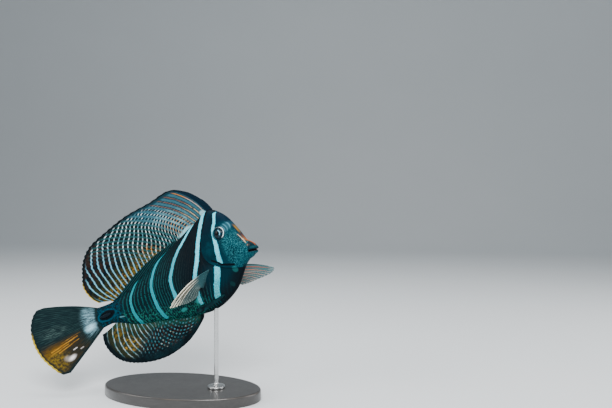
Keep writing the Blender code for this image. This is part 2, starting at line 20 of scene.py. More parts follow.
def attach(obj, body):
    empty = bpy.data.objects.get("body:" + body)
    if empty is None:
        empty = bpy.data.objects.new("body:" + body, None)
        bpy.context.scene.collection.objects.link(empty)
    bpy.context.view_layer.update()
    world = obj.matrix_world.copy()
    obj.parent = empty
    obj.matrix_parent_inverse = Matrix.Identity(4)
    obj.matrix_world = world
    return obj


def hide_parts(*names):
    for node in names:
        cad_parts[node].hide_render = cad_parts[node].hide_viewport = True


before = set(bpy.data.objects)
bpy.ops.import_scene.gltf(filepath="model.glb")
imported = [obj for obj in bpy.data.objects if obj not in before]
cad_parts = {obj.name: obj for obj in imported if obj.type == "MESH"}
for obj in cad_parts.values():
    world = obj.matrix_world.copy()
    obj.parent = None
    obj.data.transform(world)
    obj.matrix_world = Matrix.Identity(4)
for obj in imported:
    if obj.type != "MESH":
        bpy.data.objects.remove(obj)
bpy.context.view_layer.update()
log = logging.getLogger("sailfin_tang")

Colour = tuple[float, float, float]
Spot = tuple[float, float]
Faces = list[tuple[int, ...]]
Array = np.ndarray
Material = bpy.types.Material
NodeTree = bpy.types.NodeTree
ROOT_BODY = "root"
SMALL_STEP = 0.004


class Side(Enum):
    """The fish's own left and right."""

    LEFT = 1
    RIGHT = -1

    @property
    def mirror(self) -> Array:
        """What turns a left-side vector into one of this side."""
        return np.array([1.0, 1.0, float(self.value)])


class Edge(Enum):
    """The two edges of the body's outline that carry a fin."""

    BACK = 1
    BELLY = -1


def smooth(keys: Sequence[float], values: Any, places: Any) -> Array:
    """Read values between keys on a curve that passes through all of them.

    Args:
        keys: Rising places of the known values.
        values: One row of values for each key.
        places: Where to read, any number of places.

    Returns:
        One row for each place.
    """
    keys = np.asarray(keys, dtype=float)
    values = np.asarray(values, dtype=float).reshape(len(keys), -1)
    places = np.clip(np.atleast_1d(np.asarray(places, dtype=float)), keys[0], keys[-1])
    index = np.arange(len(keys))
    before, after = np.maximum(index - 1, 0), np.minimum(index + 1, len(keys) - 1)
    slopes = (values[after] - values[before]) / (keys[after] - keys[before])[:, None]
    low = np.clip(np.searchsorted(keys, places, side="right") - 1, 0, len(keys) - 2)
    span = (keys[low + 1] - keys[low])[:, None]
    t = (places - keys[low])[:, None] / span
    rise = (2 * t ** 3 - 3 * t ** 2 + 1) * values[low] + (3 * t ** 2 - 2 * t ** 3) * values[low + 1]
    turn = (t ** 3 - 2 * t ** 2 + t) * slopes[low] + (t ** 3 - t ** 2) * slopes[low + 1]
    return rise + span * turn


def ease(low: float, high: float, value: Any) -> Array:
    """Smooth step of value from 0 at low to 1 at high, which may lie below low."""
    t = np.clip((np.asarray(value, dtype=float) - low) / (high - low), 0.0, 1.0)
    return t * t * (3 - 2 * t)


def hump(value: Any, width: float) -> Array:
    """A bell of height 1 and the given half width."""
    return np.exp(-((np.asarray(value, dtype=float) / width) ** 2))


def unit(vectors: Array) -> Array:
    """Vectors scaled to length 1."""
    return vectors / np.maximum(np.linalg.norm(vectors, axis=-1, keepdims=True), 1e-12)


@dataclass(frozen=True)
class Station:
    """One cross-section of the body, in standard lengths."""

    place: float
    back: Spot
    belly: Spot
    bow: float
    half_width: float
    widest: float


@dataclass
class FishForm:
    """The shape of the body and the pose that the whole fish is held in."""

    standard_length: float = 0.22
    body_bend: float = math.radians(-40.0)
    bend_centre: float = 0.45
    pitch: float = math.radians(26.5)
    bank: float = math.radians(-10.0)
    pose_location: tuple[float, float, float] = (-0.098, 0.01, 0.086)
    bow_lean: float = 0.8
    gill_place: float = 0.72
    gap: float = 0.0003 / 0.22
    edge_count: int = 400
    stations: tuple[Station, ...] = (
        Station(0.0, (-0.02, 0.056), (-0.02, -0.06), -0.012, 0.013, 0.0),
        Station(0.06, (0.05, 0.053), (0.036, -0.057), -0.004, 0.026, 0.0),
        Station(0.115, (0.105, 0.061), (0.085, -0.076), 0.0, 0.035, 0.0),
        Station(0.19, (0.2, 0.092), (0.17, -0.12), 0.0, 0.047, 0.03),
        Station(0.29, (0.32, 0.135), (0.3, -0.156), 0.0, 0.059, 0.05),
        Station(0.41, (0.45, 0.182), (0.462, -0.204), -0.01, 0.069, 0.05),
        Station(0.525, (0.57, 0.219), (0.622, -0.225), -0.03, 0.075, 0.03),
        Station(0.625, (0.68, 0.25), (0.766, -0.183), -0.062, 0.077, 0.0),
        Station(0.72, (0.785, 0.268), (0.866, -0.103), -0.13, 0.072, -0.05),
        Station(0.79, (0.857, 0.203), (0.905, -0.081), -0.068, 0.059, -0.05),
        Station(0.86, (0.902, 0.106), (0.925, -0.079), -0.028, 0.043, -0.05),
        Station(0.92, (0.932, 0.025), (0.94, -0.077), -0.006, 0.028, -0.05),
        Station(0.955, (0.955, 0.001), (0.951, -0.073), 0.0, 0.023, 0.0),
        Station(0.98, (0.97, -0.017), (0.962, -0.068), 0.003, 0.02, 0.0),
        Station(1.0, (0.977, -0.035), (0.967, -0.06), 0.004, 0.009, 0.0),
    )

    def __post_init__(self) -> None:
        """Work out the tables that the shape is read from."""
        self.keys = [s.place for s in self.stations]
        self.values = np.array(
            [[*s.back, *s.belly, s.bow, s.half_width, s.widest] for s in self.stations]
        )
        self.turn = np.array(Matrix.Rotation(-self.pitch, 3, "Y") @ Matrix.Rotation(self.bank, 3, "X"))
        self.edge_places = np.linspace(0.0, self.gill_place + 0.03, self.edge_count)
        self.edges = {
            edge: self.section(self.edge_places, np.full(self.edge_count, float(edge.value)))
            for edge in Edge
        }

    def section(self, places: Array, levels: Array) -> Array:
        """The (along, up) points of cross-sections.

        Args:
            places: Place of each section in the loft.
            levels: Level on each, from -1 at the belly to 1 at the back.

        Returns:
            One (along, up) row for each place.
        """
        v = smooth(self.keys, self.values, places)
        share = (1 + levels) / 2
        along = v[:, 2] + (v[:, 0] - v[:, 2]) * share
        along += v[:, 4] * (1 - levels ** 2) * (1 - self.bow_lean * levels)
        return np.stack([along, v[:, 3] + (v[:, 1] - v[:, 3]) * share], axis=1)

    def level(self, places: Array, turns: Array) -> Array:
        """Level of each skin point, from its turn round the section."""
        widest = smooth(self.keys, self.values[:, 6:7], places)[:, 0]
        return np.cos(turns) + widest * np.sin(turns) ** 2

    def skin(self, places: Array, turns: Array) -> Array:
        """Straight-fish points of the skin; turn goes from the back over the left side.

        Args:
            places: Places in the loft.
            turns: Turns round the section.

        Returns:
            The points.
        """
        half = smooth(self.keys, self.values[:, 5:6], places)[:, 0]
        points = self.section(places, self.level(places, turns))
        return np.concatenate([points, (half * np.sin(turns))[:, None]], axis=1)

    def edge(self, along: Array, edge: Edge) -> tuple[Array, Array]:
        """Points of the back or belly edge, with the outward unit vectors there.

        Args:
            along: Where along the fish.
            edge: Which of the two edges.

        Returns:
            The (along, up) points and the (along, up) outward vectors.
        """
        places = np.interp(along, self.edges[edge][:, 0], self.edge_places)
        levels = np.full(len(places), float(edge.value))
        behind = np.maximum(places - SMALL_STEP, 0)
        line = self.section(places + SMALL_STEP, levels) - self.section(behind, levels)
        outward = unit(np.stack([-line[:, 1], line[:, 0]], axis=1)) * edge.value
        return self.section(places, levels), outward

    def skin_at(self, spot: Spot, side: Side) -> tuple[Array, Array]:
        """Point and outward vector of the skin at an (along, up) spot on one side.

        Args:
            spot: Its (along, up) spot.
            side: Which side of the fish.

        Returns:
            The point and the vector.
        """
        grid = np.meshgrid(np.linspace(0.01, 0.99, 99), np.linspace(0.1, 3.04, 80), indexing="ij")
        places, turns = grid[0].ravel(), grid[1].ravel()
        miss = self.skin(places, turns)[:, :2] - np.array(spot)
        best = int(np.argmin(np.sum(miss ** 2, axis=1)))
        place, turn, step = places[best], turns[best], 0.002
        for _ in range(6):
            near = self.skin(np.array([place, place + step, place]), np.array([turn, turn, turn + step]))
            by_place, by_turn = (near[1] - near[0]) / step, (near[2] - near[0]) / step
            gap = np.array(spot) - near[0][:2]
            area = by_place[0] * by_turn[1] - by_place[1] * by_turn[0]
            place += (gap[0] * by_turn[1] - gap[1] * by_turn[0]) / area
            turn += (by_place[0] * gap[1] - by_place[1] * gap[0]) / area
        normal = unit(np.cross(by_turn, by_place))
        normal = normal if normal[2] > 0 else -normal
        return near[0] * side.mirror, normal * side.mirror

    def to_world(self, points: Array) -> Array:
        """Bend straight-fish points and set them in their pose, in metres.

        Args:
            points: Straight-fish points.

        Returns:
            The world points.
        """
        along, up, side = np.asarray(points).T
        angle = self.body_bend * (along - self.bend_centre)
        x = self.bend_centre + np.sin(angle) / self.body_bend - side * np.sin(angle)
        y = (1 - np.cos(angle)) / self.body_bend + side * np.cos(angle)
        local = np.stack([x, y, up], axis=1) * self.standard_length
        return local @ self.turn.T + np.array(self.pose_location)


def write_fields(mesh: bpy.types.Mesh, fields: dict[str, Any]) -> None:
    """Store values on a mesh's points, numbers or triples, for its material to read.

    Args:
        mesh: The mesh to write on.
        fields: A number or a triple for each point, by name.
    """
    for key, values in fields.items():
        values = np.asarray(values, dtype=np.float32)
        kind, part = ("FLOAT_VECTOR", "vector") if values.ndim == 2 else ("FLOAT", "value")
        mesh.attributes.new(key, kind, "POINT").data.foreach_set(part, values.ravel())


def show(name: str, data: Any) -> bpy.types.Object:
    """A new object in the scene that holds the given data.

    Args:
        name: Its name.
        data: Its mesh, light or camera.

    Returns:
        The object.
    """
    thing = bpy.data.objects.new(name, data)
    bpy.context.scene.collection.objects.link(thing)
    return thing


def settle(piece: bpy.types.Object, nodes: Sequence[str] = ()) -> None:
    """Tie a finished piece to the frame and the solids it stands for.

    Args:
        piece: The piece.
        nodes: The solids that it stands for.
    """
    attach(piece, ROOT_BODY)
    if nodes:
        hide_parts(*nodes)
    piece.data.calc_loop_triangles()
    log.info("%s: %d triangles", piece.name, len(piece.data.loop_triangles))


def make_piece(
    name: str, points: Array, faces: Faces, fields: dict[str, Any], material: Material,
    nodes: Sequence[str], crease: float = 180.0,
) -> None:
    """Make one finished piece of the model, riding on the frame.

    Args:
        name: The piece's name.
        points: World places of its points, in metres.
        faces: Its faces, as point numbers.
        fields: Values on its points that its material reads.
        material: Its finish.
        nodes: The solids that it stands for.
        crease: Angle in degrees past which an edge stays sharp.
    """
    mesh = bpy.data.meshes.new(name)
    mesh.from_pydata(points.tolist(), [], faces)
    write_fields(mesh, fields)
    work = bmesh.new()
    work.from_mesh(mesh)
    bmesh.ops.recalc_face_normals(work, faces=work.faces)
    if work.calc_volume(signed=True) < 0:
        bmesh.ops.reverse_faces(work, faces=work.faces)
    work.to_mesh(mesh)
    work.free()
    mesh.shade_smooth()
    if crease < 180.0:
        mesh.set_sharp_from_angle(angle=math.radians(crease))
    mesh.materials.append(material)
    settle(show(name, mesh), nodes)


def rings_of_faces(rings: int, count: int, first: int = 0) -> Faces:
    """Quads between closed rings of points, ring after ring.

    Args:
        rings: Number of rings.
        count: Points in a ring.
        first: Number of the first point.

    Returns:
        The faces.
    """
    return [
        (a + k, a + (k + 1) % count, a + (k + 1) % count + count, a + k + count)
        for a in range(first, first + (rings - 1) * count, count)
        for k in range(count)
    ]


def turned(profile: Sequence[Spot], ends: Spot, segments: int) -> tuple[Array, Faces]:
    """A solid turned round its own third axis and closed on it.

    Args:
        profile: Radius and height of each ring, from one end to the other.
        ends: Heights of the two points on the axis.
        segments: Points in a ring.

    Returns:
        Its points and faces.
    """
    turn = np.arange(segments) * 2 * math.pi / segments
    rings = [
        np.stack([radius * np.cos(turn), radius * np.sin(turn), np.full(segments, height)], axis=1)
        for radius, height in profile
    ]
    points = np.concatenate([[(0.0, 0.0, ends[0]), (0.0, 0.0, ends[1])], *rings])
    last = len(points) - segments
    faces = rings_of_faces(len(profile), segments, 2)
    for k in range(segments):
        n = (k + 1) % segments
        faces += [(0, 2 + n, 2 + k), (1, last + k, last + n)]
    return points, faces


def quarter(steps: Sequence[int], count: int) -> list[Spot]:
    """Sine and cosine of even steps through a quarter turn."""
    angles = [math.radians(90 * k / count) for k in steps]
    return [(math.sin(angle), math.cos(angle)) for angle in angles]


def shell_faces(columns: int, rows: int) -> Faces:
    """Faces of a closed sheet: two grids of points, column by column, and the rim between them.

    Args:
        columns: Columns in a grid.
        rows: Points in a column.

    Returns:
        The faces.
    """
    count = columns * rows
    faces = []
    for a in (column * rows + row for column in range(columns - 1) for row in range(rows - 1)):
        faces.append((a + 1, a + rows + 1, a + rows, a))
        faces.append((a + count, a + rows + count, a + rows + 1 + count, a + 1 + count))
    rim = [*range(0, count - rows, rows), *range(count - rows, count - 1)]
    rim += [*range(count - 1, rows - 1, -rows), *range(rows - 1, 0, -1)]
    faces += [(a, b, b + count, a + count) for a, b in zip(rim, rim[1:] + rim[:1])]
    return faces


@dataclass(frozen=True)
class Value:
    """An output in a node tree, which sums and products can be written with."""

    shade: "Shade"
    socket: bpy.types.NodeSocket

    def __add__(self, other: Any) -> "Value":
        """The sum of both."""
        return self.shade.math("ADD", self, other)

    def __sub__(self, other: Any) -> "Value":
        """This less the other."""
        return self.shade.math("SUBTRACT", self, other)

    def __rsub__(self, other: Any) -> "Value":
        """The other less this."""
        return self.shade.math("SUBTRACT", other, self)

    def __mul__(self, other: Any) -> "Value":
        """The product of both."""
        return self.shade.math("MULTIPLY", self, other)

    def __truediv__(self, other: Any) -> "Value":
        """This over the other."""
        return self.shade.math("DIVIDE", self, other)

    def greater(self, other: Any) -> "Value":
        """The greater of both."""
        return self.shade.math("MAXIMUM", self, other)

    def step(self, low: Any, high: Any) -> "Value":
        """Smooth step from 0 at low to 1 at high."""
        inputs = {"Value": self, "From Min": low, "From Max": high}
        return self.shade.read("MapRange", inputs, interpolation_type="SMOOTHSTEP")

    def window(self, low: float, high: float, soft: float) -> "Value":
        """1 between low and high, with soft ends."""
        return self.step(low - soft, low + soft) * self.step(high + soft, high - soft)


Values = dict[str, Value]


class Shade:
    """Adds nodes to one shader tree and links them."""

    plane: tuple[Value, Value]

    def __init__(self, tree: NodeTree) -> None:
        """Work on the given tree."""
        self.tree = tree

    def put(self, socket: bpy.types.NodeSocket, value: Any) -> None:
        """Link a socket to a value of the tree, or set its own value.

        Args:
            socket: The input to fill.
            value: A value of the tree, a number or a colour.
        """
        if isinstance(value, Value):
            self.tree.links.new(value.socket, socket)
        elif socket.type == "RGBA":
            socket.default_value = (*value, 1.0)
        else:
            socket.default_value = value

    def node(self, kind: str, inputs: dict[Any, Any] | None = None, **settings: Any) -> bpy.types.Node:
        """A new node.

        Args:
            kind: Its type, without the ShaderNode at the front.
            inputs: Values for its inputs, by name or number.
            settings: Its other settings.

        Returns:
            The node.
        """
        made = self.tree.nodes.new("ShaderNode" + kind)
        for key, value in settings.items():
            setattr(made, key, value)
        for key, value in (inputs or {}).items():
            self.put(made.inputs[key], value)
        return made

    def read(self, kind: str, inputs: Any = None, output: Any = 0, **settings: Any) -> Value:
        """One output of a new node."""
        return Value(self, self.node(kind, inputs, **settings).outputs[output])

    def math(self, operation: str, *values: Any, clamp: bool = False) -> Value:
        """The result of a Math node on one or two values."""
        return self.read("Math", dict(enumerate(values)), operation=operation, use_clamp=clamp)

    def mix(self, amount: Any, first: Any, second: Any) -> Value:
        """A colour between two colours."""
        inputs = {0: amount, 6: first, 7: second}
        return self.read("Mix", inputs, 2, data_type="RGBA", clamp_factor=True)

    def stroke(self, start: Spot, end: Spot) -> Value:
        """Distance from the straight stroke between two spots of the plane.

        Args:
            start: Where the stroke starts.
            end: Where it ends.

        Returns:
            The distance.
        """
        run = (end[0] - start[0], end[1] - start[1])
        scale = 1 / (run[0] ** 2 + run[1] ** 2)
        x, y = self.plane[0] - start[0], self.plane[1] - start[1]
        part = self.math("ADD", x * (run[0] * scale), y * (run[1] * scale), clamp=True)
        return self.length(x - part * run[0], y - part * run[1])

    def near(self, spot: Spot, reach: Spot, plane: tuple[Value, Value] | None = None) -> Value:
        """Distance from a spot of the plane, 1 on an ellipse with that reach."""
        x, y = plane or self.plane
        return self.length((x - spot[0]) / reach[0], (y - spot[1]) / reach[1])

    def length(self, x: Value, y: Value) -> Value:
        """Length of a run with two parts."""
        return self.math("SQRT", x * x + y * y)

    def field(self, name: str) -> Value:
        """A number that the mesh carries on its points."""
        return self.read("Attribute", None, "Fac", attribute_name=name)

    def place(self, name: str) -> Value:
        """A triple that the mesh carries on its points."""
        return self.read("Attribute", None, "Vector", attribute_name=name)

    def split(self, vector: Value) -> list[Value]:
        """The three parts of a place."""
        return [Value(self, socket) for socket in self.node("SeparateXYZ", {0: vector}).outputs]

    def stretch(self, vector: Value, scale: tuple[float, float, float]) -> Value:
        """A place multiplied axis by axis."""
        return self.read("VectorMath", {0: vector, 1: scale}, operation="MULTIPLY")

    def noise(self, vector: Value, scale: float, detail: float = 2.0, rough: float = 0.5) -> Value:
        """A cloudy value from 0 to 1."""
        inputs = {"Vector": vector, "Scale": scale, "Detail": detail, "Roughness": rough}
        return self.read("TexNoise", inputs, "Fac")

    def use(self, group: NodeTree, **inputs: Any) -> Values:
        """The outputs of a shared group, placed in this tree with its own values."""
        made = self.node("Group", inputs, node_tree=group)
        return {socket.name: Value(self, socket) for socket in made.outputs}


class SharedEffects:
    """Node groups that more than one finish uses."""

    def __init__(self) -> None:
        """Build each group once."""
        origin = (0.0, 0.0, 0.0)
        self.line = self.build("painted lines", self.lines, Coordinate=0.0, Width=0.4, Softness=0.1)
        self.dots = self.build("skin spots", self.spots, Place=origin, Scale=100.0, Size=0.35, Evenness=0.8)
        self.relief = self.build("skin relief", self.scales, Place=origin, Scale=180.0)
        self.handled = self.build("handled surface", self.handling, Place=origin, Grain=900.0)

    def build(self, name: str, fill: Callable[..., Any], **inputs: Any) -> NodeTree:
        """A new group.

        Args:
            name: The group's name.
            fill: Adds its nodes, given its builder and inputs, and returns its outputs.
            inputs: First value of each input.

        Returns:
            The group.
        """
        tree = bpy.data.node_groups.new(name, "ShaderNodeTree")
        for key, value in inputs.items():
            kind = "NodeSocketVector" if isinstance(value, tuple) else "NodeSocketFloat"
            tree.interface.new_socket(name=key, in_out="INPUT", socket_type=kind).default_value = value
        shade = Shade(tree)
        entry = tree.nodes.new("NodeGroupInput")
        made = fill(shade, *(Value(shade, entry.outputs[key]) for key in inputs))
        for key in made:
            tree.interface.new_socket(name=key, in_out="OUTPUT", socket_type="NodeSocketFloat")
        end = tree.nodes.new("NodeGroupOutput")
        for key, value in made.items():
            shade.put(end.inputs[key], value)
        return tree

    def lines(self, shade: Shade, coordinate: Value, width: Value, softness: Value) -> Values:
        """Evenly spaced lines: one at each whole number of a coordinate."""
        away = shade.math("ABSOLUTE", shade.math("FRACT", coordinate + 0.5) - 0.5) * 2.0
        return {"Mask": away.step(width + softness, width - softness)}

    def spots(self, shade: Shade, place: Value, scale: Value, size: Value, evenness: Value) -> Values:
        """Round spots of uneven size, one in each cell.

        Args:
            shade: The group's builder.
            place: Place on the fish.
            scale: Cells in a standard length.
            size: Size of a spot in its cell.
            evenness: How much the cells vary.

        Returns:
            The group's outputs.
        """
        inputs = {"Vector": place, "Scale": scale, "Randomness": evenness}
        cell = shade.node("TexVoronoi", inputs, feature="F1")
        own = shade.read("SeparateColor", {0: Value(shade, cell.outputs["Color"])})
        size = size * (own * 0.5 + 0.7)
        return {"Mask": Value(shade, cell.outputs["Distance"]).step(size, size * 0.6)}

    def scales(self, shade: Shade, place: Value, scale: Value) -> Values:
        """Small overlapping scales with a slightly uneven surface.

        Args:
            shade: The group's builder.
            place: Place on the fish.
            scale: Cells in a standard length.

        Returns:
            The group's outputs.
        """
        inputs = {"Vector": place, "Scale": scale, "Randomness": 0.75}
        cells = shade.read("TexVoronoi", inputs, "Distance", feature="SMOOTH_F1")
        cloud = shade.noise(place, 40.0, 4.0, 0.6)
        return {"Height": cloud * 0.8 + cells * -0.7, "Sheen": cells * 0.18 + cloud * 0.25}

    def handling(self, shade: Shade, place: Value, grain: Value) -> Values:
        """Fine dust and faint hand marks on a smooth finish."""
        dust = shade.noise(place, grain, 2.0).step(0.62, 0.74)
        return {"Dust": dust, "Marks": shade.noise(place, 38.0, 5.0, 0.65)}


class Finish(Shade):
    """One material: its nodes, its Principled node and the colour laid on so far."""

    effects: SharedEffects
    colour: Any = None

    def __init__(self, name: str, **fixed: Any) -> None:
        """Start a material.

        Args:
            name: The material's name.
            fixed: Values of Principled sockets, with _ for each space in their names.
        """
        self.material = bpy.data.materials.new(name)
        self.material.use_nodes = True
        super().__init__(self.material.node_tree)
        self.shader = self.tree.nodes["Principled BSDF"]
        for key, value in fixed.items():
            self.put(self.shader.inputs[key.replace("_", " ")], value)

    def lay(self, colour: Any, *masks: Any) -> None:
        """Lay a colour over what is there, as strongly as the product of the masks.

        Args:
            colour: The new colour.
            masks: Values from 0 to 1.
        """
        amount = masks[0]
        for mask in masks[1:]:
            amount = amount * mask
        self.colour = self.mix(amount, self.colour, colour)

    def lines(self, coordinate: Value, width: float, softness: float) -> Value:
        """Mask of the lines at each whole number of a coordinate."""
        return self.use(self.effects.line, Coordinate=coordinate, Width=width, Softness=softness)["Mask"]

    def spots(self, place: Value, scale: float, size: float, evenness: float) -> Value:
        """Mask of scattered round spots."""
        return self.use(self.effects.dots, Place=place, Scale=scale, Size=size, Evenness=evenness)["Mask"]

    def done(self, rough: Value, height: Value | None = None, depth: float = 0.0) -> Material:
        """Feed the colour, roughness and relief to the Principled node.

        Args:
            rough: The roughness.
            height: The relief's shape.
            depth: The relief's depth in metres.

        Returns:
            The material.
        """
        self.put(self.shader.inputs["Base Color"], self.colour)
        self.put(self.shader.inputs["Roughness"], rough)
        if height is not None:
            inputs = {"Height": height, "Distance": depth, "Strength": 1.0}
            self.put(self.shader.inputs["Normal"], self.read("Bump", inputs, "Normal"))
        return self.material


@dataclass(frozen=True)
class Bar:
    """One pale bar of the flank, as a line of (along, up) spots from its top down."""

    spots: tuple[Spot, ...]
    half_widths: Spot
    lines_behind: int

    def centre(self, up: Array) -> Array:
        """Where along the fish the bar lies at each height."""
        rising = sorted((spot[1], spot[0]) for spot in self.spots)
        return smooth([spot[0] for spot in rising], [spot[1] for spot in rising], up)[:, 0]

    def inside(self, along: Array, up: Array) -> Array:
        """1 on the bar's middle line, 0 on its edge and below 0 outside it.

        Args:
            along: Where along the fish.
            up: How high up the fish.

        Returns:
            One value for each point.
        """
        slope = (self.centre(up + SMALL_STEP) - self.centre(up - SMALL_STEP)) / (2 * SMALL_STEP)
        away = np.abs(along - self.centre(up)) / np.sqrt(1 + slope ** 2)
        top, low = self.spots[0][1], self.spots[-1][1]
        share = np.clip((top - up) / (top - low), 0, 1)
        half = self.half_widths[0] + (self.half_widths[1] - self.half_widths[0]) * share
        return np.minimum(1 - away / half, np.minimum(top - up, up - low) / 0.008)


@dataclass(frozen=True)
class SkinPaint:
    """Colours of the body."""

    night: Colour = (0.0004, 0.0025, 0.0045)
    dusk: Colour = (0.0012, 0.007, 0.011)
    umber: Colour = (0.018, 0.015, 0.016)
    deep_teal: Colour = (0.0005, 0.01, 0.012)
    line_teal: Colour = (0.002, 0.085, 0.09)
    bar_white: Colour = (0.34, 0.88, 0.96)
    bar_cyan: Colour = (0.04, 0.56, 0.74)
    bar_teal: Colour = (0.007, 0.29, 0.37)
    bar_edge: Colour = (0.015, 0.3, 0.4)
    bar_green: Colour = (0.003, 0.175, 0.185)
    spot_green: Colour = (0.004, 0.13, 0.095)
    aqua: Colour = (0.015, 0.24, 0.23)
    cover_navy: Colour = (0.0004, 0.013, 0.021)
    cover_teal: Colour = (0.001, 0.026, 0.038)
    cover_shade: Colour = (0.0003, 0.007, 0.015)
    face_navy: Colour = (0.0004, 0.017, 0.028)
    face_teal: Colour = (0.0012, 0.033, 0.048)
    face_speckle: Colour = (0.04, 0.25, 0.28)
    face_pale: Colour = (0.12, 0.4, 0.52)
    brow: Colour = (0.0004, 0.011, 0.026)
    chest: Colour = (0.0003, 0.013, 0.021)
    ridge_ochre: Colour = (0.24, 0.13, 0.025)
    ridge_olive: Colour = (0.3, 0.24, 0.03)
    ridge_orange: Colour = (0.46, 0.11, 0.025)
    cream: Colour = (0.66, 0.44, 0.28)
    lip_dark: Colour = (0.0008, 0.012, 0.019)
    lip_highlight: Colour = (0.01, 0.1, 0.12)
    mouth_slit: Colour = (0.006, 0.001, 0.001)
    eye_rim_highlight: Colour = (0.75, 0.93, 0.97)
    root_blue: Colour = (0.0008, 0.033, 0.058)
    root_dash: Colour = (0.1, 0.3, 0.33)
    oval_line: Colour = (0.003, 0.09, 0.15)
    muzzle_strokes: tuple[tuple[Spot, Spot, float], ...] = (
        ((0.911, 0.062), (0.926, 0.028), 0.0013), ((0.926, 0.028), (0.938, 0.0), 0.0026),
        ((0.948, -0.016), (0.954, -0.02), 0.0072),
    )
    belly_patches: tuple[tuple[Spot, Spot], ...] = (
        ((0.556, -0.152), (0.026, 0.014)), ((0.448, -0.158), (0.024, 0.01)),
    )
    throat_patches: tuple[tuple[Spot, Spot, float], ...] = (
        ((0.821, -0.092), (0.017, 0.021), 0.22), ((0.771, -0.155), (0.016, 0.018), 0.05),
    )
    cover_line: tuple[Spot, ...] = (
        (0.726, -0.003), (0.74, -0.013), (0.758, -0.029), (0.769, -0.043), (0.81, -0.062), (0.829, -0.071),
    )


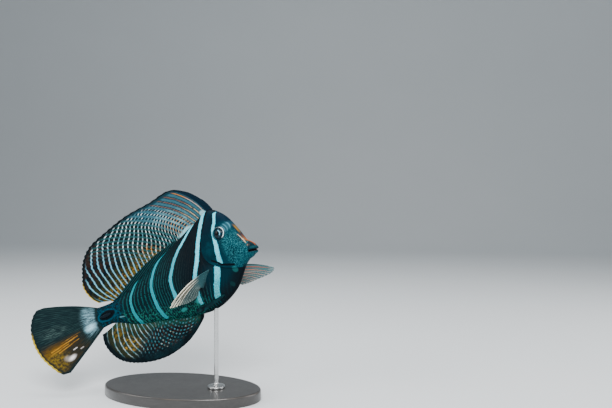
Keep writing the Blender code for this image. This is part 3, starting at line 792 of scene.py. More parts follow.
class SkinFinish(Finish):
    """The skin's painted and scaled finish."""

    paint = SkinPaint()

    def __init__(self) -> None:
        """Read what the skin carries on its points."""
        super().__init__("sailfin skin", Specular_IOR_Level=0.05)
        self.straight = self.place("straight")
        self.along, self.up, _ = self.split(self.straight)
        self.plane = (self.along, self.up)
        self.spot, self.line, self.level = self.field("place"), self.field("line"), self.field("level")
        self.above_belly, self.below_back = self.field("above_belly"), self.field("below_back")
        self.wobble = self.noise(self.straight, 55.0, 3.0) - 0.5
        self.cloud = self.noise(self.straight, 14.0, 4.0, 0.6)
        self.uneven = self.cloud - 0.5
        self.head = self.spot.step(0.7195, 0.7205)
        self.rear = self.along.step(0.62, 0.34)

    def build(self) -> Material:
        """Lay on all the colours, then the scales.

        Returns:
            The material.
        """
        paint, along, above = self.paint, self.along, self.above_belly
        self.colour = self.mix(self.cloud, paint.night, paint.dusk)
        self.lay(paint.deep_teal, self.rear, 0.55)
        self.lay(paint.deep_teal, above.step(0.17, 0.05), self.rear, 0.75)
        self.lay(paint.chest, along.step(0.6, 0.68), self.up.step(0.02, -0.06), above.step(0.02, 0.09))
        self.lay_flank_lines()
        self.lay_bars()
        self.lay_face()
        self.lay_eye_rim_and_ridge()
        self.lay_mouth_and_cover()
        self.lay_tail_root()
        keel = above.step(0.016, 0.004) * along.step(0.54, 0.57) * along.step(0.9, 0.86)
        self.lay(paint.night, keel.greater(self.below_back.step(0.008, 0.002)), 0.85)
        relief = self.use(self.effects.relief, Place=self.straight, Scale=165.0)
        groove = self.spot.window(0.7165, 0.7198, 0.0006) * -1.5
        return self.done(relief["Sheen"] + 0.34, relief["Height"] + groove, 0.00022)

    def lay_flank_lines(self) -> None:
        """The flank's fine lines, and the net and patches of its lower edge."""
        paint, along, above = self.paint, self.along, self.above_belly
        fine = self.lines(self.line + self.wobble * 0.45, 0.28, 0.2)
        broken = self.noise(self.straight, 90.0, 2.0).step(0.32, 0.5)
        chest = along.step(0.655, 0.69) * above.step(0.42, 0.3)
        teal = self.rear.greater(above.step(0.15, 0.06))
        tint = self.mix(teal, paint.umber, paint.line_teal)
        shown = fine * broken * along.step(0.8, 0.74) * (1.0 - chest * 0.9)
        self.lay(tint, shown, teal * 0.4 + 0.25)
        net = self.spots(self.straight, 98.0, 0.5, 0.8)
        self.lay(paint.spot_green, net, above.step(0.085, 0.045), along.step(0.64, 0.56), 0.75)
        for spot, reach in paint.belly_patches:
            self.lay(paint.aqua, (self.near(spot, reach) + self.wobble * 1.6).step(1.1, 0.5), 0.8)

    def lay_bars(self) -> None:
        """The pale bars, brightest in front and high up."""
        paint, along, up = self.paint, self.along, self.up
        inside = self.field("stripe") + self.wobble * 0.8
        bright = along.step(0.5, 0.6) * up.step(-0.12, 0.02)
        bright = bright * (1.0 - self.head * up.step(0.06, -0.02) * 0.55)
        grain = self.noise(self.straight, 210.0, 3.0, 0.6).step(0.42, 0.6)
        dull = self.mix(along.step(0.44, 0.24), paint.bar_teal, paint.bar_green)
        dull = self.mix(self.above_belly.step(0.12, 0.03) * 0.7, dull, paint.bar_green)
        ground = self.mix(bright, dull, paint.bar_cyan)
        speck = self.mix(along.step(0.3, 0.62), paint.bar_teal, paint.bar_white)
        pale = self.mix(grain * (bright * 0.35 + 0.3), ground, speck)
        self.pale = self.mix(inside.step(0.5, 0.1) * 0.55, pale, paint.bar_edge)
        self.stripe = inside.step(-0.04, 0.16)
        self.lay(self.pale, self.stripe)

    def lay_face(self) -> None:
        """The gill cover, the speckled face, the brow and the arcs over the eye."""
        paint, along, up, cloud, head = self.paint, self.along, self.up, self.cloud, self.head
        cover = self.mix(cloud.step(0.42, 0.66), paint.cover_navy, paint.cover_teal)
        self.lay(self.mix(up.step(0.06, 0.19) * 0.75, cover, paint.cover_shade), head)
        ahead = head * self.line.step(0.2, -0.3)
        base = self.mix(cloud.step(0.34, 0.6), paint.face_navy, paint.face_teal)
        self.lay(self.mix(along.step(0.835, 0.805) * 0.7, base, paint.face_navy), ahead)
        shown = self.spots(self.straight, 260.0, 0.46, 0.85) * ahead * along.step(0.8, 0.84)
        self.lay(paint.face_speckle, shown, up.step(0.12, 0.06), up.step(-0.1, -0.02) * 0.55 + 0.35)
        brow = self.math("ADD", up.step(0.14, 0.175), self.level.step(0.8, 0.97), clamp=True)
        self.lay(paint.brow, brow, ahead, 0.85)
        patch = (self.near((0.868, 0.126), (0.032, 0.03)) + self.uneven).step(1.15, 0.55) * ahead
        self.lay(paint.face_pale, patch, 0.1)
        arcs = self.lines((self.field("eye_off") + self.uneven * 0.01) * 75.0, 0.26, 0.22)
        self.lay(paint.face_pale, arcs, patch, 0.45)
        self.lay(self.pale, self.stripe, head)

    def lay_eye_rim_and_ridge(self) -> None:
        """The dark eye rim with a painted highlight as a bright crescent on the front of its crest, and the
        warm ridge of the snout.
        """
        paint, along, level = self.paint, self.along, self.level
        off = self.field("eye_off")
        self.lay(paint.lip_dark, off.step(0.0375, 0.035), 0.9)
        # painted highlight: a white crescent on the front of the eye rim's crest, where the light catches it
        lit = along.step(0.832, 0.844).greater(self.up.step(0.126, 0.138) * 0.15)
        self.lay(paint.eye_rim_highlight, off.window(0.0314, 0.0341, 0.0008), lit)
        crest = self.near((0.905, 0.098), (0.02, 0.04)).step(1.2, 0.3)
        self.lay(paint.ridge_ochre, crest, level.step(0.946, 0.985), 0.85)
        inner = level.window(0.925, 0.958, 0.012) * along.window(0.922, 0.96, 0.012)
        self.lay(paint.ridge_olive, inner, 0.45)
        thin = level.step(0.95, 0.978) * along.window(0.925, 0.978, 0.012)
        self.lay(paint.ridge_orange, thin, self.cloud * 0.8 + 0.4)
        for start, end, width in paint.muzzle_strokes:
            away = self.stroke(start, end) + self.uneven * 0.004
            self.lay(paint.cream, away.step(width * 1.2, 0.0), 0.7)

    def lay_mouth_and_cover(self) -> None:
        """The lips with a painted highlight on the upper lip, the slit between them, the gill cover's lines
        and the throat's patches.
        """
        paint = self.paint
        above, share = self.field("mouth_above"), self.field("mouth_share")
        lips = above.window(-0.008, 0.052, 0.006) * share.step(1.05, 0.92)
        self.lay(paint.lip_dark, lips, self.level.step(0.985, 0.955), 0.92)
        # painted highlight: a teal gleam along the middle of the upper lip's bulge
        self.lay(paint.lip_highlight, above.window(0.009, 0.021, 0.004), share.window(0.25, 0.75, 0.15), 0.3)
        self.lay(paint.mouth_slit, above.window(-0.0052, 0.0045, 0.0014), share.step(1.06, 0.98))
        self.lay(paint.face_navy, self.near((0.752, -0.036), (0.015, 0.0085)).step(1.1, 0.85))
        for start, end in zip(paint.cover_line, paint.cover_line[1:]):
            self.lay(paint.night, (self.stroke(start, end) + self.uneven * 0.004).step(0.007, 0.0035))
        for spot, reach, amount in paint.throat_patches:
            self.lay(paint.aqua, (self.near(spot, reach) + self.uneven * 0.9).step(1.0, 0.6), amount)

    def lay_tail_root(self) -> None:
        """The dark oval round the scalpel, and its blue outline."""
        paint = self.paint
        uneven = self.noise(self.straight, 40.0) - 0.5
        blue = self.noise(self.straight, 110.0, 3.0).step(0.4, 0.62)
        root = (self.along + uneven * 0.05).step(0.14, 0.09)
        self.lay(self.mix(blue, paint.night, paint.root_blue), root, 0.9)
        self.lay(paint.root_dash, self.stroke((0.09, -0.046), (0.112, -0.052)).step(0.005, 0.0015), 0.6)
        away = self.near((0.024, -0.006), (0.046, 0.024)) + uneven * 0.35
        self.lay(paint.oval_line, away.window(1.0, 1.3, 0.16), 0.3)
        self.lay(paint.night, away.step(1.1, 0.86))


@dataclass(frozen=True)
class Ridge:
    """A rounded ridge, or a groove if its height is below 0, in standard lengths."""

    height: float
    middle: float
    width: float

    def lift(self, away: Array) -> Array:
        """How far it moves points of the skin that lie that far away."""
        return self.height * hump(away - self.middle, self.width)


@dataclass
class BodySkin:
    """The one skin of head, trunk and tail root, with its eye rims, lips, nostrils and gill edge."""

    form: FishForm
    columns: int = 256
    body_rings: int = 186
    fold_rings: int = 40
    head_rings: int = 154
    face_turns: Spot = (0.8, 2.1)
    face_density: float = 2.2
    gill_lip: float = 0.0036
    gill_fade: float = 0.022
    gill_groove: Ridge = Ridge(-0.0016, -0.0035, 0.0035)
    cheek_crease: Ridge = Ridge(0.0012, 0.795, 0.01)
    lips: Ridge = Ridge(0.0036, 0.0105, 0.0065)
    mouth_slit: Ridge = Ridge(-0.0085, 0.0, 0.0036)
    pectoral_pad: Ridge = Ridge(0.006, 0.0, 0.017)
    nostril_rim: Ridge = Ridge(0.0022, 1.25, 0.5)
    nostril_pit: Ridge = Ridge(-0.005, 0.0, 0.75)
    eye_rim: Ridge = Ridge(0.0048, 0.0312, 0.004)
    eye_moat: Ridge = Ridge(-0.0014, 0.04, 0.004)
    eye_at: Spot = (0.822, 0.109)
    eye_radius: float = 0.03
    eye_depth: float = 0.018
    eye_sunk: float = 0.006
    eye_inset: float = 0.0045
    eye_turn_out: float = 0.6
    nostrils: tuple[tuple[Spot, float], ...] = (((0.868, 0.078), 0.0042), ((0.881, 0.064), 0.0032))
    mouth_front: Spot = (0.99, -0.06)
    mouth_corner: Spot = (0.937, -0.046)
    pectoral_root: tuple[Spot, Spot] = ((0.693, -0.04), (0.622, -0.107))
    gill_bar: Bar = Bar(
        ((0.823, 0.232), (0.817, 0.178), (0.801, 0.15), (0.792, 0.115), (0.788, 0.085),
         (0.786, 0.06), (0.779, 0.035), (0.773, 0.009), (0.767, -0.017), (0.763, -0.04)),
        (0.0075, 0.0165), 6,
    )
    bars: tuple[Bar, ...] = (
        Bar(((0.76, 0.06), (0.745, -0.02), (0.735, -0.046), (0.721, -0.08), (0.694, -0.125),
             (0.676, -0.157), (0.66, -0.188)), (0.019, 0.0165), 6),
        Bar(((0.757, 0.272), (0.748, 0.24), (0.731, 0.2), (0.713, 0.165), (0.694, 0.13),
             (0.671, 0.085), (0.651, 0.045), (0.631, 0.015), (0.6, -0.03), (0.578, -0.07),
             (0.571, -0.117), (0.565, -0.142), (0.563, -0.178)), (0.015, 0.012), 10),
        Bar(((0.668, 0.24), (0.647, 0.222), (0.619, 0.199), (0.58, 0.169), (0.545, 0.142),
             (0.513, 0.111), (0.489, 0.081), (0.468, 0.049), (0.446, 0.013), (0.439, -0.03),
             (0.439, -0.071), (0.436, -0.1)), (0.0085, 0.012), 8),
        Bar(((0.475, 0.196), (0.44, 0.178), (0.404, 0.157), (0.375, 0.128), (0.347, 0.086),
             (0.323, 0.038), (0.315, -0.017), (0.315, -0.074), (0.319, -0.115), (0.333, -0.158)),
            (0.008, 0.0105), 6),
        Bar(((0.245, 0.111), (0.223, 0.084), (0.199, 0.052), (0.179, 0.014), (0.173, -0.03),
             (0.176, -0.077), (0.19, -0.127)), (0.006, 0.0095), 5),
    )

    def rings(self) -> Array:
        """Places of the rings, closest over the face and along the gill cover's edge.

        Returns:
            The places, from tail root to snout.
        """
        gill = self.form.gill_place
        body = np.linspace(0.0, gill - 0.012, self.body_rings, endpoint=False)
        fold = np.linspace(gill - 0.012, gill + 0.028, self.fold_rings, endpoint=False)
        return np.concatenate([body, fold, np.linspace(gill + 0.028, 1.0, self.head_rings)])

    def turns(self) -> Array:
        """Turns of the columns, closest at the level of the eye and mouth.

        Returns:
            One turn for each column.
        """
        fine = np.linspace(0.0, math.pi, 4001)
        low, high = self.face_turns
        weight = 1 + (self.face_density - 1) * ease(low - 0.2, low, fine) * ease(high + 0.2, high, fine)
        total = np.concatenate([[0.0], np.cumsum((weight[1:] + weight[:-1]) / 2)])
        left = np.interp(np.linspace(0.0, total[-1], self.columns // 2 + 1), total, fine)
        return np.concatenate([left, 2 * math.pi - left[-2:0:-1]])

    def eye_frame(self, side: Side) -> tuple[Array, Array]:
        """Centre and outward axis of an eye, in straight-fish lengths.

        Args:
            side: Which side of the fish.

        Returns:
            The centre and the axis.
        """
        spot, normal = self.form.skin_at(self.eye_at, side)
        axis = unit(normal * np.array([self.eye_turn_out, self.eye_turn_out, 1.0]))
        return spot - axis * self.eye_sunk, axis

    def mouth_line(self, points: Array) -> tuple[Array, Array]:
        """Share of each point from the mouth's front (0) to its corner (1), and height above its line.

        Args:
            points: Straight-fish points.

        Returns:
            The shares and the heights.
        """
        front = np.array(self.mouth_front)
        run = np.array(self.mouth_corner) - front
        rel = points[:, :2] - front
        return rel @ run / (run @ run), rel @ np.array([run[1], -run[0]]) / np.linalg.norm(run)

    def shaped(self, points: Array, normals: Array, places: Array, levels: Array) -> Array:
        """Model the face, gill cover and fin roots into the plain skin.

        Args:
            points: Straight-fish points of the plain skin.
            normals: Their outward vectors.
            places: Their places in the loft.
            levels: Their levels, from belly to back.

        Returns:
            The moved points.
        """
        behind = places - self.form.gill_place
        window = ease(-1.0, -0.9, levels) * ease(0.55, 0.15, levels)
        lift = np.where(behind >= 0, self.gill_lip * np.exp(-np.abs(behind) / self.gill_fade), 0.0)
        lift = (lift + self.gill_groove.lift(behind)) * window
        lift += self.cheek_crease.lift(places) * ease(-0.95, -0.7, levels) * ease(0.2, -0.2, levels)
        share, above = self.mouth_line(points)
        mouth = self.lips.lift(np.abs(above)) * ease(1.2, 0.4, share) + self.mouth_slit.lift(above)
        lift += mouth * ease(1.25, 0.95, share)
        root, tip = np.array(self.pectoral_root)
        run = tip - root
        along_root = np.clip((points[:, :2] - root) @ run / (run @ run), 0, 1)
        away = np.linalg.norm(points[:, :2] - root - along_root[:, None] * run, axis=1)
        lift += self.pectoral_pad.lift(away)
        for spot, size in self.nostrils:
            off = np.linalg.norm(points[:, :2] - np.array(spot), axis=1) / size
            lift += self.nostril_rim.lift(off) + self.nostril_pit.lift(off)
        moved = points + normals * lift[:, None]
        for side in Side:
            centre, axis = self.eye_frame(side)
            rel = moved - centre
            high = rel @ axis
            wide = np.linalg.norm(rel - high[:, None] * axis, axis=1)
            same = (points[:, 2] * side.value > 0) & (wide < 0.08)
            ball = self.eye_depth * np.sqrt(np.clip(1 - (wide / self.eye_radius) ** 2, 0, 1))
            push = (ball - self.eye_inset - high) * ease(0.029, 0.0262, wide)
            push += self.eye_rim.lift(wide) + self.eye_moat.lift(wide)
            moved += np.where(same, push, 0.0)[:, None] * axis
        return moved

    def fields(self, points: Array, places: Array, levels: Array) -> dict[str, Array]:
        """Values on the skin's points that its material reads.

        Args:
            points: Straight-fish points.
            places: Places in the loft.
            levels: Levels, from belly to back.

        Returns:
            The values, by name.
        """
        along, up = points[:, 0], points[:, 1]
        ahead = places >= self.form.gill_place
        inside = np.where(ahead, self.gill_bar.inside(along, up), self.bars[0].inside(along, up))
        centres = [np.where(ahead, self.gill_bar.centre(up), self.bars[0].centre(up))]
        for bar in self.bars[1:]:
            inside = np.maximum(inside, bar.inside(along, up))
            centres.append(bar.centre(up))
        line = (centres[0] - along) / 0.02
        total = 0.0
        for bar, start, after in zip(self.bars, centres, [*centres[1:], centres[-1] - 0.125]):
            part = (start - along) / (start - after)
            line = np.where(along < start, total + part * bar.lines_behind, line)
            total += bar.lines_behind
        share, above = self.mouth_line(points)
        return {
            "straight": points, "stripe": inside, "line": line, "place": places, "level": levels,
            "below_back": self.form.edge(along, Edge.BACK)[0][:, 1] - up,
            "above_belly": up - self.form.edge(along, Edge.BELLY)[0][:, 1],
            "mouth_share": share, "mouth_above": above,
            "eye_off": np.hypot(along - self.eye_at[0], up - self.eye_at[1]),
        }

    def build(self, material: Material) -> None:
        """Make the skin, with its face modelled and its markings laid out.

        Args:
            material: Its finish.
        """
        rings, turns = self.rings(), self.turns()
        count, rows = len(turns), len(rings)
        places, around = np.repeat(rings, count), np.tile(turns, rows)
        plain = self.form.skin(places, around)
        grid = plain.reshape(rows, count, 3)
        by_turn = np.roll(grid, -1, axis=1) - np.roll(grid, 1, axis=1)
        normals = unit(np.cross(by_turn, np.gradient(grid, axis=0))).reshape(-1, 3)
        normals *= np.where(np.sum(normals[:, 2] * plain[:, 2]) < 0, -1.0, 1.0)
        levels = self.form.level(places, around)
        faces = rings_of_faces(rows, count)
        for start in (0, (rows - 1) * count):
            for k in range(count // 2):
                right = (start + count - k - 1, start + (count - k) % count)
                faces.append(tuple(dict.fromkeys((start + k, start + k + 1, *right))))
        points = self.form.to_world(self.shaped(plain, normals, places, levels))
        fields = self.fields(plain, places, levels)
        make_piece("body_skin", points, faces, fields, material, ("head", "trunk", "tail_base"))


class RayTubes:
    """The Geometry Nodes tree that grows round rays along drawn lines."""

    def __init__(self) -> None:
        """Build the tree: rays as thick as the lines' own radius says, realised and dressed."""
        tree = bpy.data.node_groups.new("fin rays", "GeometryNodeTree")
        for way, key, kind, value in (
            ("INPUT", "Geometry", "Geometry", None), ("INPUT", "Sides", "Int", 8),
            ("INPUT", "Thickness", "Float", 1.0), ("INPUT", "Material", "Material", None),
            ("OUTPUT", "Geometry", "Geometry", None),
        ):
            socket = tree.interface.new_socket(name=key, in_out=way, socket_type="NodeSocket" + kind)
            if value is not None:
                socket.default_value = value
        kinds = {
            "entry": "NodeGroupInput", "curve": "GeometryNodeMeshToCurve", "scaled": "ShaderNodeMath",
            "radius": "GeometryNodeInputNamedAttribute", "sized": "GeometryNodeSetCurveRadius",
            "circle": "GeometryNodeCurvePrimitiveCircle", "tube": "GeometryNodeCurveToMesh",
            "real": "GeometryNodeRealizeInstances", "dress": "GeometryNodeSetMaterial",
            "end": "NodeGroupOutput",
        }
        nodes = {key: tree.nodes.new(kind) for key, kind in kinds.items()}
        nodes["radius"].data_type = "FLOAT"
        nodes["radius"].inputs["Name"].default_value = "radius"
        nodes["scaled"].operation = "MULTIPLY"
        nodes["circle"].inputs["Radius"].default_value = 1.0
        nodes["tube"].inputs["Fill Caps"].default_value = True
        links = [
            ("entry", "Geometry", "curve", "Mesh"), ("curve", "Curve", "sized", "Curve"),
            ("radius", "Attribute", "scaled", 0), ("entry", "Thickness", "scaled", 1),
            ("scaled", 0, "sized", "Radius"), ("entry", "Sides", "circle", "Resolution"),
            ("sized", "Curve", "tube", "Curve"), ("circle", "Curve", "tube", "Profile Curve"),
            ("tube", "Mesh", "real", "Geometry"), ("real", "Geometry", "dress", "Geometry"),
            ("entry", "Material", "dress", "Material"), ("dress", "Geometry", "end", "Geometry"),
        ]
        if "Scale" in nodes["tube"].inputs:
            links.append(("scaled", 0, "tube", "Scale"))
        for start, output, end, key in links:
            tree.links.new(nodes[start].outputs[output], nodes[end].inputs[key])
        self.tree = tree

    def grow(self, thing: bpy.types.Object, **values: Any) -> None:
        """Turn an object's drawn lines into the rays that the tree makes of them.

        Args:
            thing: The object that holds the lines.
            values: The tree's inputs, by name.
        """
        step = thing.modifiers.new(self.tree.name, "NODES")
        step.node_group = self.tree
        for item in self.tree.interface.items_tree:
            if item.in_out == "INPUT" and item.name in values:
                step[item.identifier] = values[item.name]
        graph = bpy.context.evaluated_depsgraph_get()
        made = bpy.data.meshes.new_from_object(thing.evaluated_get(graph))
        thing.modifiers.remove(step)
        thing.data = made
        made.shade_smooth()


@dataclass
class Fin:
    """A thin membrane between rays, with the rays grown along it.

    Each of its keys starts with a place across the fin and ends with the length there.
    """

    form: FishForm
    tubes: RayTubes
    name: str
    slot: str
    node: str
    ray_count: int
    keys: tuple[tuple[float, ...], ...]
    columns_per_ray: int = 8
    rows: int = 90
    ray_half: Spot = (0.003, 0.001)
    ray_end: float = 0.995
    ray_sides: int = 7
    spine_swell: float = 1.15
    membrane_half: float = 0.0011
    scallop: float = 0.012
    root_flare: float = 0.004
    flare_fade: float = 0.018
    sunk: float = 0.01
    spines: int = 0
    splits: Spot = (0.42, 0.72)
    ring_keys: tuple[tuple[float, float, float], ...] = ()
    face = np.array([0.0, 0.0, 1.0])

    def middle(self, across: Array, out: Array) -> Array:
        """Straight-fish points of the fin's middle surface."""
        raise NotImplementedError

    def key(self, column: int, across: Array) -> Array:
        """One column of the keys, read across the fin."""
        table = np.array(self.keys)
        return smooth(table[:, 0], table[:, column], across)[:, 0]

    def length(self, across: Array) -> Array:
        """Length of the rays."""
        return self.key(-1, across)

    def fanned(self, root: Array, angle: Array, run: Array, side: Array) -> Array:
        """Points that far out from the root, at an angle above straight back."""
        return np.stack([root[:, 0] - run * np.cos(angle), root[:, 1] + run * np.sin(angle), side], axis=1)

    def flare(self, across: Array) -> Array:
        """Extra half thickness at the fleshy root."""
        return np.full(len(across), self.root_flare)

    def fields(self, across: Array, out: Array, points: Array) -> dict[str, Array]:
        """Values on the fin's points that its materials read.

        Args:
            across: Places across the fin.
            out: Places along the rays.
            points: Straight-fish points.

        Returns:
            The values, by name.
        """
        length = self.length(across)
        values = {
            "straight": points, "across": across, "out": out, "ray": across * (self.ray_count - 1),
            "to_margin": (1 - out) * length, "from_root": out * length,
        }
        if self.ring_keys:
            keys = np.array(self.ring_keys)
            third, spacing = smooth(keys[:, 0], keys[:, 1:], across).T
            values["ring"] = 3 + (values["to_margin"] - third) / spacing
        return values

    def build(self, dress: Callable[[bool], Material]) -> None:
        """Make the membrane and the rays, each with its own finish."""
        self.build_membrane(dress(False))
        self.build_rays(dress(True))

    def build_membrane(self, material: Material) -> None:
        """Make the fin's thin closed sheet, scalloped between its rays.

        Args:
            material: Its finish.
        """
        columns = (self.ray_count - 1) * self.columns_per_ray + 1
        start = -self.sunk / max(float(self.length(np.array([0.5]))[0]), 0.05)
        outs = np.concatenate([[start], np.linspace(0.0, 1.0, self.rows - 1)])
        across, out = np.repeat(np.linspace(0.0, 1.0, columns), self.rows), np.tile(outs, columns)
        between = np.sin(np.pi * across * (self.ray_count - 1)) ** 2
        points = self.middle(across, out * (1 - self.scallop * between * np.clip(out, 0, 1)))
        half = self.membrane_half * (1 - 0.55 * ease(0.85, 1.0, out)) * (1 - 0.25 * between)
        half += self.flare(across) * np.exp(-np.clip(out, 0, 1) * self.length(across) / self.flare_fade)
        shift = self.face[None, :] * half[:, None]
        both = np.concatenate([points + shift, points - shift])
        make_piece(
            self.name + "_membrane", self.form.to_world(both), shell_faces(columns, self.rows),
            self.fields(np.tile(across, 2), np.tile(out, 2), both), material, (self.node,),
        )

    def build_rays(self, material: Material) -> None:
        """Grow the rays: plain spines in front, soft rays that split twice behind them.

        Args:
            material: Its finish.
        """
        spacing = 1 / (self.ray_count - 1)
        first_split, second_split = self.splits
        points, edges, values = [], [], []
        for ray in range(self.ray_count):
            soft = ray >= self.spines
            branches = [(1, 1, 0.0), (-1, 1, first_split), (1, -1, second_split), (-1, -1, second_split)]
            for first, second, start in branches if soft else branches[:1]:
                out = np.linspace(start, self.ray_end, max(6, int(44 * (1 - start))))
                spread = ease(first_split, first_split + 0.25, out) * 0.15 * first
                spread += ease(second_split, second_split + 0.2, out) * 0.08 * second
                across = np.clip(ray * spacing + spread * spacing * soft, 0, 1)
                thin = 1.0 if soft else self.spine_swell
                thin = thin - soft * 0.28 * ease(first_split, first_split + 0.2, out)
                thin = thin - soft * 0.22 * ease(second_split, second_split + 0.2, out)
                half = self.ray_half[0] + (self.ray_half[1] - self.ray_half[0]) * out ** 0.7
                base = len(points)
                points += list(self.middle(across, out))
                edges += [(base + k, base + k + 1) for k in range(len(out) - 1)]
                values += list(zip(across, out, half * thin))
        straight, table = np.array(points), np.array(values)
        mesh = bpy.data.meshes.new(self.name + "_rays")
        mesh.from_pydata(self.form.to_world(straight).tolist(), edges, [])
        radius = table[:, 2] * self.form.standard_length
        write_fields(mesh, self.fields(table[:, 0], table[:, 1], straight) | {"radius": radius})
        thing = show(self.name + "_rays", mesh)
        self.tubes.grow(thing, Sides=self.ray_sides, Thickness=1.0, Material=material)
        settle(thing)


@dataclass
class SailFin(Fin):
    """The dorsal or anal fin, rooted along an edge of the body; its keys hold a lean in degrees too."""

    edge: Edge = Edge.BACK
    ends: Spot = (0.0, 1.0)
    sway: float = 0.0
    root_lean: float = 10.0

    def middle(self, across: Array, out: Array) -> Array:
        """Straight-fish points of the fin's middle surface.

        Args:
            across: Places across the fin.
            out: Places along the rays.

        Returns:
            The points.
        """
        root, outward = self.form.edge(self.ends[0] + (self.ends[1] - self.ends[0]) * across, self.edge)
        root = root + outward * self.form.gap * 1.3
        angle = np.radians(self.key(1, across) + self.root_lean * (1 - out))
        wave = self.sway * np.sin(2 * math.pi * (0.9 * across + 0.1)) * np.clip(out, 0, 1) ** 1.6
        return self.fanned(root, angle * self.edge.value, self.length(across) * out, wave)


@dataclass
class TailFin(Fin):
    """The caudal fin, fanned from the end of the tail's root; its keys hold a lean in degrees too."""

    curl: float = 9.0

    def flare(self, across: Array) -> Array:
        """Extra half thickness at the fleshy root, as thick as the tail's end."""
        return 0.0095 * np.sqrt(np.clip(1 - (2 * across - 1) ** 2, 0, 1))

    def middle(self, across: Array, out: Array) -> Array:
        """Straight-fish points of the fin's middle surface.

        Args:
            across: Places across the fin.
            out: Places along the rays.

        Returns:
            The points.
        """
        root = self.form.section(np.zeros(len(across)), 0.97 * (1 - 2 * across))
        angle = np.radians(self.key(1, across) + self.curl * np.clip(1 - 2 * across, 0, 1) * (1 - out))
        return self.fanned(root, angle, self.length(across) * out, np.zeros(len(out)))


@dataclass
class PairedFin(Fin):
    """A pectoral or pelvic fin, fanned from a short line on the skin."""

    side: Side = Side.LEFT
    root: tuple[Spot, ...] = ()
    directions: tuple[tuple[float, float, float], ...] = ()
    cup: float = 0.0
    ray_arch: float = 0.0
    mean_reach: float = 0.2
    stand_off: float = 0.0068

    def __post_init__(self) -> None:
        """Find the root on the skin and the plane of the fin."""
        self.first, self.last = (unit(np.array(d) * self.side.mirror) for d in self.directions)
        self.ends = [self.form.skin_at(spot, self.side) for spot in self.root]
        span = self.ends[1][0] - self.ends[0][0] + (self.last - self.first) * self.mean_reach
        self.face = unit(np.cross(span, self.first + self.last))

    def middle(self, across: Array, out: Array) -> Array:
        """Straight-fish points of the fin's middle surface.

        Args:
            across: Places across the fin.
            out: Places along the rays.

        Returns:
            The points.
        """
        part = across[:, None]
        spot, outward = (self.ends[0][k] * (1 - part) + self.ends[1][k] * part for k in (0, 1))
        direction = unit(self.first * (1 - part) + self.last * part)
        run = (self.length(across) * out)[:, None]
        hollow = (self.cup * np.sin(math.pi * across) * np.clip(out, 0, 1) ** 1.3)[:, None]
        arch = (4 * self.ray_arch * out * (1 - out))[:, None] * np.array([0.0, 1.0, 0.0])
        return spot + outward * self.stand_off + direction * run + self.face * hollow + arch


class FinFinish(Finish):
    """A fin's finish, with what every fin carries on its points."""

    def __init__(self, name: str, gloss: float = 0.05) -> None:
        """Start a fin's material and read the fin's own values.

        Args:
            name: Its name.
            gloss: How shiny it is.
        """
        super().__init__(name, Specular_IOR_Level=gloss)
        self.straight = self.place("straight")
        self.across, self.out = self.field("across"), self.field("out")
        self.to_margin, self.from_root = self.field("to_margin"), self.field("from_root")
        self.plane = (self.across, self.out)

    def dressed(self) -> Material:
        """The material, with a fin's roughness and the fine ribs along its membrane.

        Returns:
            The material.
        """
        relief = self.use(self.effects.relief, Place=self.straight, Scale=260.0)
        ribs = self.math("SINE", self.field("ray") * (2 * math.pi * 6))
        return self.done(relief["Sheen"] + 0.36, ribs * 0.35 + relief["Height"], 0.00014)


@dataclass(frozen=True)
class SailPaint:
    """Colours of the dorsal and anal fins."""

    night: Colour = (0.0006, 0.004, 0.006)
    dusk: Colour = (0.0015, 0.012, 0.016)
    leading: Colour = (0.0004, 0.009, 0.02)
    slate: Colour = (0.005, 0.03, 0.045)
    pale_line: Colour = (0.026, 0.1, 0.135)
    bright_line: Colour = (0.26, 0.56, 0.62)
    lattice: Colour = (0.011, 0.056, 0.058)
    ring: Colour = (0.15, 0.46, 0.62)
    ring_middle: Colour = (0.065, 0.23, 0.29)
    white: Colour = (0.75, 0.9, 0.92)
    lilac: Colour = (0.42, 0.38, 0.42)
    cream: Colour = (0.8, 0.6, 0.36)
    orange: Colour = (0.6, 0.22, 0.03)
    russet: Colour = (0.22, 0.08, 0.04)
    ochre: Colour = (0.17, 0.11, 0.008)
    olive: Colour = (0.035, 0.038, 0.008)
    umber: Colour = (0.04, 0.015, 0.008)
    yellow: Colour = (0.52, 0.33, 0.03)
    blue_dot: Colour = (0.02, 0.15, 0.18)
    body_line: Colour = (0.002, 0.05, 0.055)
    base_green: Colour = (0.004, 0.045, 0.035)


class SailFinish(FinFinish):
    """What the dorsal and anal fins' finishes have in common."""

    name = "sail"
    bend = 0.0
    paint = SailPaint()

    def __init__(self, on_rays: bool) -> None:
        """Start the finish of the rays, or of the membrane between them.

        Args:
            on_rays: Whether it is for the rays or for the web.
        """
        super().__init__(f"{self.name} {'rays' if on_rays else 'membrane'}")
        self.on_rays = on_rays
        self.wobble = self.noise(self.straight, 34.0, 3.0) - 0.5
        self.ray = self.field("ray") - self.from_root * self.from_root * self.bend
        self.rear = self.across.step(0.52, 0.68)
        self.ahead = 1.0 - self.rear

    def rings(self, width: float, softness: float) -> Value:
        """Lines that follow the margin."""
        return self.lines(self.field("ring") + self.wobble * 0.14, width, softness)

    def along_rays(self, shift: float, width: float, softness: float) -> Value:
        """Lines that follow the rays, one to each ray."""
        return self.lines(self.ray + (self.wobble * 0.25 + shift), width, softness)

    def flecks(self, scale: float, low: float, high: float) -> Value:
        """Uneven flecks of paint."""
        return self.noise(self.straight, scale, 2.0).step(low, high)

    def patch(self, spot: Spot, reach: Spot) -> Value:
        """A soft patch round a spot given across the fin and in from its margin."""
        return self.near(spot, reach, (self.across, self.to_margin)).step(1.1, 0.6)

    def finished(self) -> Material:
        """The material, a little darker on the rays.

        Returns:
            The material.
        """
        if self.on_rays:
            self.lay(self.paint.night, 0.15)
        return self.dressed()


